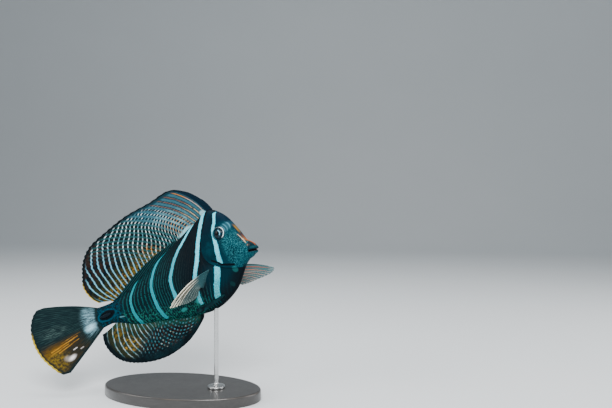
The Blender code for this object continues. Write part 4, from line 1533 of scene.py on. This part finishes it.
class DorsalFinish(SailFinish):
    """Rings behind, a lattice in the middle and dotted rows along the rays in front."""

    name = "dorsal"
    bend = 10.8

    def build(self) -> Material:
        """Lay on the ground, the lines, the rays' own colours and the edges.

        Returns:
            The material.
        """
        self.front = self.across.step(0.36, 0.27)
        self.light = self.along_rays(0.5, 0.44, 0.26)
        self.start = self.to_margin - (self.front * 0.012 + 0.012)
        self.shown = self.start.step(0.0, 0.022)
        self.leading = (self.ray + self.wobble).step(6.8, 4.6)
        self.lay_ground()
        self.lay_lines()
        self.lay_rays()
        self.lay_edges()
        return self.finished()

    def lay_ground(self) -> None:
        """Dark ground with an olive grain, warm near the root behind."""
        paint, across, root = self.paint, self.across, self.from_root
        self.colour = self.mix(self.front * 0.8, paint.night, paint.slate)
        olive = self.lines(self.ray * 2.5, 0.55, 0.35) * across.step(0.46, 0.56)
        olive = olive * self.flecks(46.0, 0.36, 0.56)
        self.lay(paint.olive, olive, root.step(0.3, 0.1))
        self.lay(paint.umber, olive, root.step(0.15, 0.3), 0.8)
        low = root.step(0.16, 0.05) * across.step(0.46, 0.52) * self.shown * 0.6
        self.lay(paint.ochre, low, self.flecks(80.0, 0.46, 0.6))
        self.lay(paint.orange, low, self.flecks(105.0, 0.6, 0.68), 0.9)

    def lay_lines(self) -> None:
        """The pale bands between the rays, and the rings across them."""
        paint, across = self.paint, self.across
        tint = self.mix(across.step(0.28, 0.36), paint.pale_line, paint.lattice)
        lit = across.window(0.17, 0.3, 0.05) * self.to_margin.step(0.1, 0.2)
        tint = self.mix(lit * (self.flecks(24.0, 0.4, 0.6) * 0.35 + 0.1), tint, paint.bright_line)
        bands = self.light * self.ahead
        self.lay(tint, bands, self.shown)
        dotted = self.math("SUBTRACT", 1.0 - bands * 0.5, self.light * self.front * 0.5, clamp=True)
        near_root = self.from_root.step(0.2, 0.1)
        blue = self.mix(self.rear, paint.ring_middle, paint.ring)
        rows = (1.0 - self.light) * self.ahead * self.flecks(30.0, 0.36, 0.58)
        blue = self.mix(rows, blue, paint.white)
        warm = self.mix(self.flecks(55.0, 0.44, 0.56), paint.cream, paint.orange)
        for low, high, amount in ((0.05, 0.33, 0.9), (0.46, 0.56, self.flecks(40.0, 0.42, 0.5))):
            blue = self.mix(near_root * across.window(low, high, 0.03) * amount, blue, warm)
        faint = across.step(0.12, 0.22) * 0.5 + 0.5
        rings = self.rings(0.2, 0.16) * dotted * (1.0 - self.leading * 0.85)
        self.lay(blue, rings, self.shown, faint, 0.92)

    def lay_rays(self) -> None:
        """Warm lines on the leading rays, and bright feet on two of them."""
        paint, root = self.paint, self.from_root
        thin = self.along_rays(0.0, 0.14, 0.16) * self.leading * self.shown * self.flecks(38.0, 0.24, 0.46)
        self.lay(self.mix(root.step(0.05, 0.15), paint.cream, paint.russet), thin, 0.7)
        first = self.ray.window(1.94, 2.08, 0.06) * self.start.step(0.0, 0.03)
        warm = self.mix(root.step(0.11, 0.19), paint.lilac, paint.orange)
        self.lay(warm, first, self.flecks(45.0, 0.25, 0.45), 0.75)
        self.lay(paint.leading, self.ray.step(1.75, 1.55))
        for ray, reach in ((2.3, (0.9, 0.026)), (8.4, (2.3, 0.024))):
            foot = self.near((ray, 0.0), reach, (self.ray, root)) + self.wobble * 0.8
            self.lay(paint.bright_line, foot.step(1.1, 0.6), 0.9)

    def lay_edges(self) -> None:
        """The dark margin with its yellow rim, and the fleshy root."""
        paint, across, margin = self.paint, self.across, self.to_margin
        self.lay(paint.night, margin.step(0.018, 0.008), across.step(0.95, 0.86))
        self.lay(paint.yellow, margin.step(0.007, 0.003), across.step(0.8, 0.88))
        fleshy = self.from_root - across.window(0.46, 0.86, 0.16) * 0.042 + self.wobble * 0.014
        strands = self.lines(self.from_root * 85.0 + across * 14.0, 0.3, 0.22)
        flesh = self.mix(strands, paint.night, paint.body_line)
        self.lay(flesh, fleshy.step(0.01, 0.002), across.step(0.34, 0.4))


class AnalFinish(SailFinish):
    """Curved lines behind, rows of blue dots in front."""

    name = "anal"

    def build(self) -> Material:
        """Lay on the ground, the warm patches, the lines and the dots.

        Returns:
            The material.
        """
        paint, across, margin, flecks = self.paint, self.across, self.to_margin, self.flecks
        shown = margin.step(0.016, 0.034)
        cloud = self.noise(self.straight, 12.0, 3.0).step(0.4, 0.62)
        self.colour = self.mix(cloud, paint.night, paint.dusk)
        self.lay(paint.base_green, self.from_root.step(0.05, 0.01), 0.9)
        self.lay(paint.umber, flecks(70.0, 0.5, 0.62), margin.step(0.05, 0.1), 0.55)
        self.lay(paint.olive, self.lines(self.ray * 3.0, 0.6, 0.35), self.rear, shown, 0.6)
        warm = self.patch((0.72, 0.098), (0.1, 0.05)).greater(self.patch((0.9, 0.095), (0.08, 0.05)) * 0.55)
        warm = warm * flecks(66.0, 0.42, 0.6) * shown
        self.lay(paint.ochre, warm, 0.8)
        self.lay(paint.orange, warm, flecks(90.0, 0.6, 0.68), 0.45)
        pale = self.mix(flecks(40.0, 0.4, 0.62) * 0.45, paint.ring_middle, paint.white)
        self.lay(pale, self.rings(0.15, 0.15), self.rear, shown, margin.step(0.02, 0.07) * 0.4 + 0.5)
        dots = self.rings(0.34, 0.24) * self.along_rays(0.0, 0.46, 0.28) * self.ahead
        dots = dots * (margin - across.step(0.5, 0.25) * 0.03).step(0.028, 0.1)
        dots = dots * across.step(0.03, 0.12) * (flecks(34.0, 0.38, 0.6) * 0.6 + 0.4)
        self.lay(self.mix(flecks(60.0, 0.4, 0.55), paint.ring_middle, paint.blue_dot), dots)
        self.lay(paint.cream, dots, flecks(90.0, 0.6, 0.68), 0.7)
        self.lay(paint.night, margin.step(0.018, 0.008))
        self.lay(paint.night, across.step(0.05, 0.02))
        return self.finished()


@dataclass(frozen=True)
class TailPaint:
    """Colours of the tail fin, and its streaks as start, end, width and strength."""

    dusk: Colour = (0.0025, 0.011, 0.014)
    ray: Colour = (0.018, 0.046, 0.045)
    sheen: Colour = (0.065, 0.115, 0.105)
    frost: Colour = (0.42, 0.78, 0.92)
    umber: Colour = (0.035, 0.02, 0.005)
    orange: Colour = (0.42, 0.16, 0.01)
    amber: Colour = (0.45, 0.23, 0.02)
    gold: Colour = (0.1, 0.05, 0.005)
    olive: Colour = (0.175, 0.11, 0.008)
    white: Colour = (0.88, 0.83, 0.82)
    yellow: Colour = (0.6, 0.42, 0.02)
    warm_streaks: tuple[tuple[Spot, Spot, float, float], ...] = (
        ((0.606, 0.33), (0.628, 0.64), 0.008, 0.4), ((0.652, 0.39), (0.668, 0.84), 0.014, 0.95),
        ((0.72, 0.4), (0.728, 0.76), 0.011, 0.8), ((0.692, 0.56), (0.698, 0.88), 0.009, 0.65),
    )
    white_dashes: tuple[tuple[Spot, Spot, float], ...] = (
        ((0.826, 0.51), (0.818, 0.57), 0.9), ((0.9, 0.44), (0.888, 0.485), 0.6),
    )


class TailFinish(FinFinish):
    """Dark, frosted at its root, with warm streaks low down."""

    paint = TailPaint()

    def __init__(self, on_rays: bool) -> None:
        """Start the finish of the rays, or of the membrane between them.

        Args:
            on_rays: Whether it is for the rays or for the web.
        """
        super().__init__("tail rays" if on_rays else "tail membrane")
        fan = self.read("CombineXYZ", {0: self.across * 95.0, 1: self.out * 7.0, 2: 0.0})
        self.streaks = self.noise(fan, 1.0, 3.0, 0.6)
        self.uneven = self.noise(self.straight, 26.0, 3.0, 0.6) - 0.5

    def build(self) -> Material:
        """Lay on the ground, the warm part, the frost and the white spots, then the edges.

        Returns:
            The material.
        """
        self.lay_ground()
        self.lay_frost()
        paint, across, margin = self.paint, self.across, self.to_margin
        self.lay(paint.dusk, margin.step(0.022, 0.01).greater(across.step(0.95, 0.98)), 0.9)
        rim = margin.step(0.0095, 0.005) * across.step(0.32, 0.48)
        self.lay(paint.yellow, rim, across.step(0.93, 0.86), 0.85)
        return self.dressed()

    def lay_ground(self) -> None:
        """Dark webs between paler rays, a painted highlight in the middle of the fin, and the warm streaks
        of the lower half.
        """
        paint, across, out, streaks = self.paint, self.across, self.out, self.streaks
        ribs = self.lines(self.field("ray") * 2.0, 0.4, 0.3)
        self.colour = self.mix(ribs * streaks.step(0.36, 0.66) * 0.9, paint.dusk, paint.ray)
        # painted highlight: a pale grey-green sheen patch along the streaks in the middle of the fin
        sheen = self.near((0.43, 0.68), (0.11, 0.24)).step(1.1, 0.3) * 0.7
        self.lay(paint.sheen, sheen, streaks.step(0.46, 0.62))
        self.lay(paint.umber, across.step(0.52, 0.62), out.step(0.22, 0.45), streaks.step(0.34, 0.6), 0.8)
        gold = self.near((0.665, 0.8), (0.085, 0.3)) + self.uneven * 0.7
        self.lay(paint.gold, gold.step(1.2, 0.2), streaks.step(0.28, 0.52), 0.9)
        for start, end, width, amount in paint.warm_streaks:
            away = self.stroke(start, end) + (streaks * 0.05 - 0.026)
            tint = self.mix(away.step(width * 0.5, 0.0), paint.orange, paint.amber)
            self.lay(tint, away.step(width * 1.1, -width * 0.3), amount)
        mottle = self.noise(self.straight, 75.0, 3.0, 0.6).step(0.34, 0.7)
        self.lay(paint.olive, self.near((0.8, 0.9), (0.16, 0.26)).step(1.15, 0.4), mottle)

    def lay_frost(self) -> None:
        """The frosted root and the white spots near the lower tip."""
        paint, across, out, streaks = self.paint, self.across, self.out, self.streaks
        reach = 0.24 - across.window(0.52, 0.72, 0.12) * 0.03
        frost = out.step(0.03, 0.08) * (out - reach).step(0.08, -0.1)
        frost = frost * streaks.step(0.4, 0.66) * across.window(0.06, 0.86, 0.12)
        blob = (self.near((0.655, 0.15), (0.135, 0.105)) + self.uneven * 0.6).step(1.4, 0.1)
        blob = blob * (streaks.step(0.35, 0.55) * 0.4 + 0.6)
        self.lay(paint.frost, (frost * 0.65).greater(blob))
        self.lay(paint.white, self.near((0.852, 0.735), (0.04, 0.055)).step(1.5, 0.1), 0.22)
        self.lay(paint.white, self.near((0.89, 0.68), (0.036, 0.078)).step(1.3, 0.05))
        for start, end, amount in paint.white_dashes:
            self.lay(paint.white, self.stroke(start, end).step(0.014, -0.003), amount)


@dataclass(frozen=True)
class PectoralPaint:
    """Colours of one pectoral fin, and where they change along its rays."""

    web: Colour
    outer_web: Colour
    ray: Colour
    ray_root: Colour
    ray_tip: Colour
    dull: Colour
    root_ends: Spot
    tip_starts: Spot
    fade: float
    clear: Spot
    dark_front: float
    front: Colour = (0.003, 0.012, 0.016)


def dress_pectoral(paint: PectoralPaint, name: str, on_rays: bool) -> Material:
    """A clear web between pale or warm rays.

    Args:
        paint: The fin's colours.
        name: The fin's name.
        on_rays: Whether this is for the rays or for the web.

    Returns:
        The material.
    """
    finish = FinFinish(f"{name} {'rays' if on_rays else 'web'}", 0.15)
    across, out = finish.across, finish.out
    front = across.step(0.05, 0.015) * paint.dark_front
    tips = out.step(*paint.tip_starts)
    if on_rays:
        second = finish.lines(finish.field("ray") * 0.5 + 0.5, 0.5, 0.1) * 0.88
        finish.colour = finish.mix(second, paint.ray, paint.dull)
        finish.lay(paint.ray_tip, tips)
        finish.lay(paint.ray_root, across.step(0.17, 0.38), paint.fade)
        ends = out + (finish.noise(finish.straight, 30.0, 3.0) - 0.5) * 0.25
        finish.colour = finish.mix(ends.step(*paint.root_ends), paint.ray_root, finish.colour)
    else:
        finish.colour = finish.mix(tips, paint.web, paint.outer_web)
        clear = out.step(0.5, 0.8) * (paint.clear[1] - paint.clear[0]) + paint.clear[0]
        finish.put(finish.shader.inputs["Alpha"], clear.greater(front))
    finish.lay(paint.front, front)
    return finish.dressed()


def dress_pelvic(on_rays: bool) -> Material:
    """Near black, with a teal cast along the rays.

    Args:
        on_rays: Whether it is for the rays or for the web.

    Returns:
        The material.
    """
    finish = FinFinish("pelvic rays" if on_rays else "pelvic membrane")
    deep = (0.002, 0.016, 0.02) if on_rays else (0.001, 0.005, 0.008)
    cloud = finish.noise(finish.straight, 40.0, 3.0).step(0.4, 0.65)
    finish.colour = finish.mix(cloud, deep, (0.003, 0.03, 0.034))
    return finish.dressed()


@dataclass
class Eyes:
    """Both eyes: a glassy ball with a dark pupil, and a painted highlight as a pale ring round the front of
    the pupil.
    """

    form: FishForm
    skin: BodySkin
    segments: int = 72
    rows: int = 40

    def build(self) -> None:
        """Make both eyes."""
        material = self.material()
        polar = [math.pi * row / self.rows for row in range(1, self.rows)]
        depth = self.skin.eye_depth
        profile = [(self.skin.eye_radius * math.sin(a), depth * math.cos(a)) for a in polar]
        radial, faces = turned(profile, (depth, -depth), self.segments)
        for side in Side:
            centre, axis = self.skin.eye_frame(side)
            flat = unit(np.cross(np.array([0.0, 1.0, 0.0]), axis))
            turn = np.array([flat * side.value, np.cross(axis, flat), axis])
            name = "eye_" + side.name.lower()
            points = self.form.to_world(centre + radial @ turn)
            make_piece(name + "_ball", points, faces, {"radial": radial}, material, (name,))

    def material(self) -> Material:
        """A dark pupil and iris, with a painted highlight as a pale blue crescent at the front of the pupil.

        Returns:
            The material.
        """
        finish = Finish("eye glass", Coat_Weight=0.12, Coat_Roughness=0.03, Specular_IOR_Level=0.1)
        radius = self.skin.eye_radius
        radial = finish.place("radial")
        x, y, _ = finish.split(radial)
        away = finish.near((0.0, 0.0), (radius, radius), (x, y))
        spokes = finish.noise(finish.stretch(radial, (1.0, 1.0, 0.2)), 160.0, 3.0, 0.7)
        iris = finish.mix(spokes.step(0.35, 0.65), (0.0005, 0.005, 0.009), (0.001, 0.022, 0.036))
        finish.colour = finish.mix(away.step(0.42, 0.5), (0.0005, 0.0005, 0.001), iris)
        # painted highlight: a pale blue crescent on the front edge of the pupil
        finish.lay((0.2, 0.6, 0.78), away.window(0.44, 0.58, 0.04), (x / radius).step(0.16, 0.38))
        return finish.done(spokes * 0.2 + 0.15)


@dataclass
class TailSpines:
    """The folded scalpel on each side of the tail's root."""

    form: FishForm
    span: Spot = (-0.012, 0.046)
    up: float = -0.006
    half_height: float = 0.0085
    thickness: float = 0.0062
    root_depth: float = 0.002
    columns: int = 33
    rows: int = 17

    def build(self) -> None:
        """Make both spines."""
        material = self.material()
        faces = shell_faces(self.columns, self.rows)
        shares = np.linspace(0.0, 1.0, self.columns)
        for side in Side:
            inner, outer = [], []
            for share in shares:
                along = self.span[0] + (self.span[1] - self.span[0]) * share
                height = self.half_height * (0.25 + 0.75 * math.sin(math.pi * (0.12 + 0.8 * share)))
                for level in np.linspace(-1.0, 1.0, self.rows):
                    spot, normal = self.form.skin_at((along, self.up + height * level), side)
                    swell = max(1 - level ** 2, 0.0) ** 0.8
                    thick = self.thickness * (0.1 + 0.9 * swell) * (1 - 0.7 * share ** 2)
                    inner.append(spot - normal * self.root_depth)
                    outer.append(spot + normal * (self.form.gap + thick))
            points = np.array(inner + outer)
            name = "tail_spine_" + side.name.lower()
            fields = {"straight": points, "share": np.tile(np.repeat(shares, self.rows), 2)}
            world = self.form.to_world(points)
            make_piece(name + "_blade", world, faces, fields, material, (name,), 60.0)

    def material(self) -> Material:
        """Horn: pale along the cutting edge, dark at the root.

        Returns:
            The material.
        """
        finish = Finish("scalpel horn", Specular_IOR_Level=0.1)
        grain = finish.noise(finish.stretch(finish.place("straight"), (60.0, 900.0, 300.0)), 1.0, 3.0)
        finish.colour = finish.mix(grain, (0.0005, 0.003, 0.006), (0.002, 0.01, 0.018))
        finish.lay((0.004, 0.014, 0.022), finish.field("share").step(0.6, 1.0), 0.4)
        return finish.done(grain * 0.2 + 0.22, grain, 0.00008)


@dataclass
class Stand:
    """The oval plinth and the rod that carries the fish."""

    form: FishForm
    plinth_length: float = 0.19
    plinth_width: float = 0.1
    plinth_height: float = 0.012
    plinth_edge: float = 0.0025
    plinth_segments: int = 160
    rod_segments: int = 48
    rod_radius: float = 0.0025
    foot_radius: float = 0.01
    foot_height: float = 0.004
    rod_sunk: float = 0.006
    rod_at: float = 0.605
    gap: float = 0.0003

    def build(self) -> None:
        """Make the plinth and the rod."""
        self.build_plinth()
        self.build_rod()

    def build_plinth(self) -> None:
        """An oval slab with a rounded upper edge."""
        half, edge, top = self.plinth_length / 2, self.plinth_edge, self.plinth_height
        profile = [(half * share, 0.0) for share in (0.2, 0.5, 0.8)]
        profile += [(half - 0.0004, 0.0), (half, 0.0004)]
        profile += [(half - edge + edge * cos, top - edge + edge * sin) for sin, cos in quarter(range(9), 8)]
        profile += [(half * share, top) for share in (0.94, 0.8, 0.5, 0.2)]
        points, faces = turned(profile, (0.0, top), self.plinth_segments)
        rim = half - np.hypot(points[:, 0], points[:, 1])
        points[:, 1] *= self.plinth_width / self.plinth_length
        make_piece("plinth", points, faces, {"rim": rim}, self.lacquer(), ("stand_base",), 40.0)

    def build_rod(self) -> None:
        """A round rod on a turned foot, up into the belly."""
        keel, _ = self.form.edge(np.array([self.rod_at]), Edge.BELLY)
        spot = self.form.to_world(np.array([[keel[0, 0], keel[0, 1], 0.0]]))[0]
        foot, high = self.plinth_height + self.gap, spot[2] + self.rod_sunk
        thin, big, tall = self.rod_radius, self.foot_radius, self.foot_height
        profile = [(big * 0.96, foot), (big, foot + 0.0003)]
        profile += [
            (big * wide, foot + tall * level)
            for wide, level in ((1.0, 0.4), (0.985, 0.52), (0.93, 0.6), (0.8, 0.7))
        ]
        profile += [
            (big * 0.8 - (big * 0.8 - thin) * sin, foot + tall * (0.7 + 0.8 * (1 - cos)))
            for sin, cos in quarter(range(1, 9), 8)
        ]
        neck = foot + tall * 1.5
        profile += [(thin, neck + (high - neck) * share) for share in (0.1, 0.4, 0.7, 0.97, 1.0)]
        points, faces = turned(profile, (foot, high), self.rod_segments)
        points[:, :2] += spot[:2]
        make_piece("support_rod", points, faces, {}, self.steel(), ("stand_rod",), 50.0)

    def lacquer(self) -> Material:
        """Black-stained wood under a satin lacquer, a little rubbed on its edge.

        Returns:
            The material.
        """
        finish = Finish("plinth lacquer", Coat_Weight=0.5, Coat_Roughness=0.18)
        here = finish.read("TexCoord", None, "Object")
        grain = finish.noise(finish.stretch(here, (26.0, 420.0, 420.0)), 1.0, 5.0, 0.6)
        pores = finish.noise(finish.stretch(here, (60.0, 1500.0, 1500.0)), 1.0, 2.0).step(0.6, 0.72)
        finish.colour = finish.mix(grain, (0.016, 0.015, 0.015), (0.05, 0.045, 0.042))
        finish.lay((0.006, 0.006, 0.006), pores, 0.7)
        hand = finish.use(finish.effects.handled, Place=here, Grain=700.0)
        worn = finish.field("rim").window(0.0002, 0.0011, 0.0005) * hand["Marks"]
        finish.lay((0.16, 0.12, 0.09), worn.step(0.4, 0.6), 0.5)
        finish.lay((0.35, 0.34, 0.33), hand["Dust"], 0.1)
        return finish.done(hand["Marks"] * 0.22 + 0.26, grain * 0.4 - pores * 0.8, 0.00012)

    def steel(self) -> Material:
        """Turned stainless steel with rings left by the tool.

        Returns:
            The material.
        """
        finish = Finish("rod steel", Metallic=1.0)
        here = finish.read("TexCoord", None, "Object")
        rings = finish.noise(finish.stretch(here, (30.0, 30.0, 3200.0)), 1.0, 3.0)
        hand = finish.use(finish.effects.handled, Place=here, Grain=1100.0)
        finish.colour = finish.mix(rings, (0.44, 0.45, 0.46), (0.66, 0.66, 0.65))
        finish.lay((0.3, 0.3, 0.3), hand["Dust"], 0.15)
        return finish.done(hand["Marks"] * 0.2 + 0.16, rings, 0.00003)


@dataclass
class Studio:
    """Pale floor, soft light and the camera at the photograph's viewing angle."""

    form: FishForm
    camera_offset: tuple[float, float, float] = (0.3935, -0.6604, 0.137)
    heading: tuple[float, float, float] = (-0.2207, 0.9753, 0.0)
    focal_pixels: float = 600.0
    picture_width: float = 612.0
    sensor: float = 36.0

    def build(self) -> None:
        """Make the floor, the lights and the camera."""
        self.build_floor()
        self.build_lights()
        data = bpy.data.cameras.new("photo_camera")
        data.sensor_width = self.sensor
        data.lens = self.sensor * self.focal_pixels / self.picture_width
        data.clip_start = 0.01
        camera = show("photo_camera", data)
        camera.location = Vector(self.form.pose_location) + Vector(self.camera_offset)
        camera.rotation_euler = Vector(self.heading).to_track_quat("-Z", "Y").to_euler()
        bpy.context.scene.camera = camera

    def build_floor(self) -> None:
        """A pale sweep: flat under the model and curved up far behind it."""
        rows = [(-3.0, 0.0), (2.2, 0.0)]
        rows += [(2.2 + 1.5 * sin, 1.5 - 1.5 * cos) for sin, cos in quarter(range(1, 16), 15)]
        rows.append((3.7, 5.0))
        points = [(x, y, z) for y, z in rows for x in (-6.0, 6.0)]
        faces = [(k, k + 1, k + 3, k + 2) for k in range(0, len(points) - 2, 2)]
        mesh = bpy.data.meshes.new("studio_floor")
        mesh.from_pydata(points, [], faces)
        mesh.shade_smooth()
        finish = Finish("studio paper", Specular_IOR_Level=0.2)
        cloud = finish.noise(finish.read("TexCoord", None, "Object"), 3.0, 3.0)
        finish.colour = finish.mix(cloud, (0.78, 0.81, 0.83), (0.81, 0.84, 0.86))
        mesh.materials.append(finish.done(cloud * 0.1 + 0.75))
        show("studio_floor", mesh)

    def build_lights(self) -> None:
        """A large key light above the camera's side, a fill, and soft lights above and at the tail."""
        aim = Vector(self.form.pose_location)
        for name, spot, size, power in (
            ("key_light", (0.45, -1.15, 1.15), 0.9, 32.0),
            ("fill_light", (1.3, 0.2, 0.6), 1.0, 9.0),
            ("top_light", (-0.3, 0.2, 1.5), 1.2, 14.0),
            ("tail_light", (-1.1, -0.7, 0.7), 0.8, 8.0),
        ):
            data = bpy.data.lights.new(name, "AREA")
            data.shape = "DISK"
            data.size = size
            data.energy = power
            lamp = show(name, data)
            lamp.location = spot
            lamp.rotation_euler = (aim - Vector(spot)).to_track_quat("-Z", "Y").to_euler()
        world = bpy.data.worlds.new("studio_air")
        world.use_nodes = True
        air = world.node_tree.nodes["Background"].inputs
        air[0].default_value = (0.82, 0.9, 0.95, 1.0)
        air[1].default_value = 0.34
        bpy.context.scene.world = world


DORSAL_KEYS = (
    (0.0, 63.0, 0.095), (0.03, 62.0, 0.168), (0.08, 55.5, 0.276), (0.19, 47.0, 0.336),
    (0.3, 40.5, 0.4), (0.415, 35.5, 0.426), (0.53, 31.0, 0.438), (0.64, 28.0, 0.4),
    (0.75, 25.5, 0.332), (0.86, 23.0, 0.256), (0.95, 20.0, 0.16), (1.0, 15.0, 0.085),
)
ANAL_KEYS = (
    (0.0, 52.0, 0.024), (0.03, 50.0, 0.07), (0.08, 47.0, 0.13), (0.14, 45.0, 0.17),
    (0.27, 43.0, 0.219), (0.45, 41.0, 0.242), (0.63, 38.0, 0.232), (0.78, 34.0, 0.198),
    (0.91, 28.0, 0.148), (1.0, 19.0, 0.09),
)
DORSAL_RINGS = (
    (0.0, -0.12, 0.018), (0.2, -0.06, 0.0182), (0.26, -0.029, 0.0185), (0.3, -0.0075, 0.0195),
    (0.35, 0.001, 0.0228), (0.4, 0.029, 0.0258), (0.45, 0.0576, 0.0282), (0.5, 0.086, 0.0292),
    (0.55, 0.114, 0.0305), (0.6, 0.135, 0.0325), (0.65, 0.151, 0.0345), (0.7, 0.163, 0.0358),
    (0.75, 0.18, 0.0358), (0.81, 0.209, 0.037), (0.875, 0.2315, 0.0388), (1.0, 0.27, 0.041),
)
ANAL_RINGS = (
    (0.0, -0.18, 0.019), (0.2, -0.12, 0.0195), (0.35, -0.07, 0.02), (0.45, -0.035, 0.0205),
    (0.5, -0.01, 0.0215), (0.57, 0.02, 0.0235), (0.63, 0.035, 0.0245), (0.7, 0.048, 0.026),
    (0.77, 0.06, 0.028), (0.83, 0.07, 0.031), (0.9, 0.088, 0.034), (1.0, 0.1, 0.036),
)
TAIL_KEYS = (
    (0.0, 22.5, 0.285), (0.06, 20.5, 0.322), (0.2, 13.0, 0.346), (0.4, 3.0, 0.35),
    (0.6, -8.5, 0.34), (0.8, -22.0, 0.32), (0.94, -32.0, 0.304), (1.0, -35.5, 0.275),
)
FOLDED_LENGTHS = ((0.0, 0.273), (0.07, 0.285), (0.3, 0.215), (0.6, 0.146), (0.85, 0.086), (1.0, 0.05))
SPREAD_LENGTHS = ((0.0, 0.252), (0.07, 0.28), (0.3, 0.262), (0.6, 0.19), (0.85, 0.152), (1.0, 0.126))
PELVIC_LENGTHS = ((0.0, 0.172), (0.4, 0.176), (1.0, 0.118))
FOLDED_PECTORAL = ((-0.83, -0.36, 0.43), (-0.76, -0.57, 0.32))
SPREAD_PECTORAL = ((0.46, -0.2, 0.86), (0.86, -0.34, 0.36))
FOLDED_PELVIC = ((-0.99, -0.04, 0.1), (-0.97, -0.2, 0.12))
PELVIC_ROOT = ((0.7, -0.182), (0.684, -0.19))
NEAR_PAINT = PectoralPaint(
    (0.002, 0.014, 0.017), (0.005, 0.028, 0.032), (0.95, 0.89, 0.74), (0.016, 0.065, 0.075),
    (0.7, 0.66, 0.52), (0.1, 0.085, 0.04), (0.22, 0.55), (0.75, 0.95), 0.88, (0.9, 0.75), 0.0,
)
FAR_PAINT = PectoralPaint(
    (0.01, 0.1, 0.115), (0.003, 0.075, 0.1), (0.6, 0.085, 0.008), (0.7, 0.5, 0.4),
    (0.3, 0.36, 0.34), (0.03, 0.15, 0.165), (0.0, 0.1), (0.84, 0.96), 0.5, (0.98, 0.96), 1.0,
)


def build_fins(form: FishForm, pectoral_root: tuple[Spot, Spot]) -> None:
    """Make every fin with its finishes.

    Args:
        form: The fish's shape and pose.
        pectoral_root: Ends of the line on the skin that the pectoral fins grow from.
    """
    tubes = RayTubes()
    SailFin(
        form, tubes, "dorsal", "dorsal_fin", "dorsal_fin", 31, DORSAL_KEYS, ring_keys=DORSAL_RINGS,
        spines=5, ends=(0.8, 0.078), sway=0.014,
    ).build(lambda on_rays: DorsalFinish(on_rays).build())
    SailFin(
        form, tubes, "anal", "anal_fin", "anal_fin", 26, ANAL_KEYS, ring_keys=ANAL_RINGS, rows=70,
        spines=3, edge=Edge.BELLY, ends=(0.528, 0.05), sway=0.01,
    ).build(lambda on_rays: AnalFinish(on_rays).build())
    TailFin(
        form, tubes, "tail", "caudal_fin", "caudal_fin", 18, TAIL_KEYS, columns_per_ray=12,
        scallop=0.008, sunk=0.004,
    ).build(lambda on_rays: TailFinish(on_rays).build())
    for side, directions, keys, cup, ray_arch, paint in (
        (Side.RIGHT, FOLDED_PECTORAL, FOLDED_LENGTHS, 0.012, 0.02, NEAR_PAINT),
        (Side.LEFT, SPREAD_PECTORAL, SPREAD_LENGTHS, 0.018, 0.022, FAR_PAINT),
    ):
        hand = side.name.lower()
        PairedFin(
            form, tubes, "pectoral_" + hand, "pectoral_fin", "pectoral_fin_" + hand, 15, keys, rows=50,
            root_flare=0.0015, ray_half=(0.0026, 0.0014), membrane_half=0.0009, splits=(0.5, 0.8),
            spines=1, sunk=0.002, side=side, root=pectoral_root, directions=directions, cup=cup,
            ray_arch=ray_arch,
        ).build(lambda on_rays: dress_pectoral(paint, "pectoral_" + hand, on_rays))
        PairedFin(
            form, tubes, "pelvic_" + hand, "pelvic_fin", "pelvic_fin_" + hand, 6, PELVIC_LENGTHS,
            rows=44, columns_per_ray=12, root_flare=0.0012, spines=1, sunk=0.004, side=side,
            root=PELVIC_ROOT, directions=FOLDED_PELVIC, stand_off=0.005,
        ).build(dress_pelvic)


def main() -> None:
    """Build every piece of the model, then the studio round it."""
    logging.basicConfig(level=logging.INFO, format="%(name)s %(message)s")
    Finish.effects = SharedEffects()
    form = FishForm()
    skin = BodySkin(form)
    skin.build(SkinFinish().build())
    Eyes(form, skin).build()
    build_fins(form, skin.pectoral_root)
    for maker in (TailSpines, Stand, Studio):
        maker(form).build()


if __name__ == "__main__":
    main()
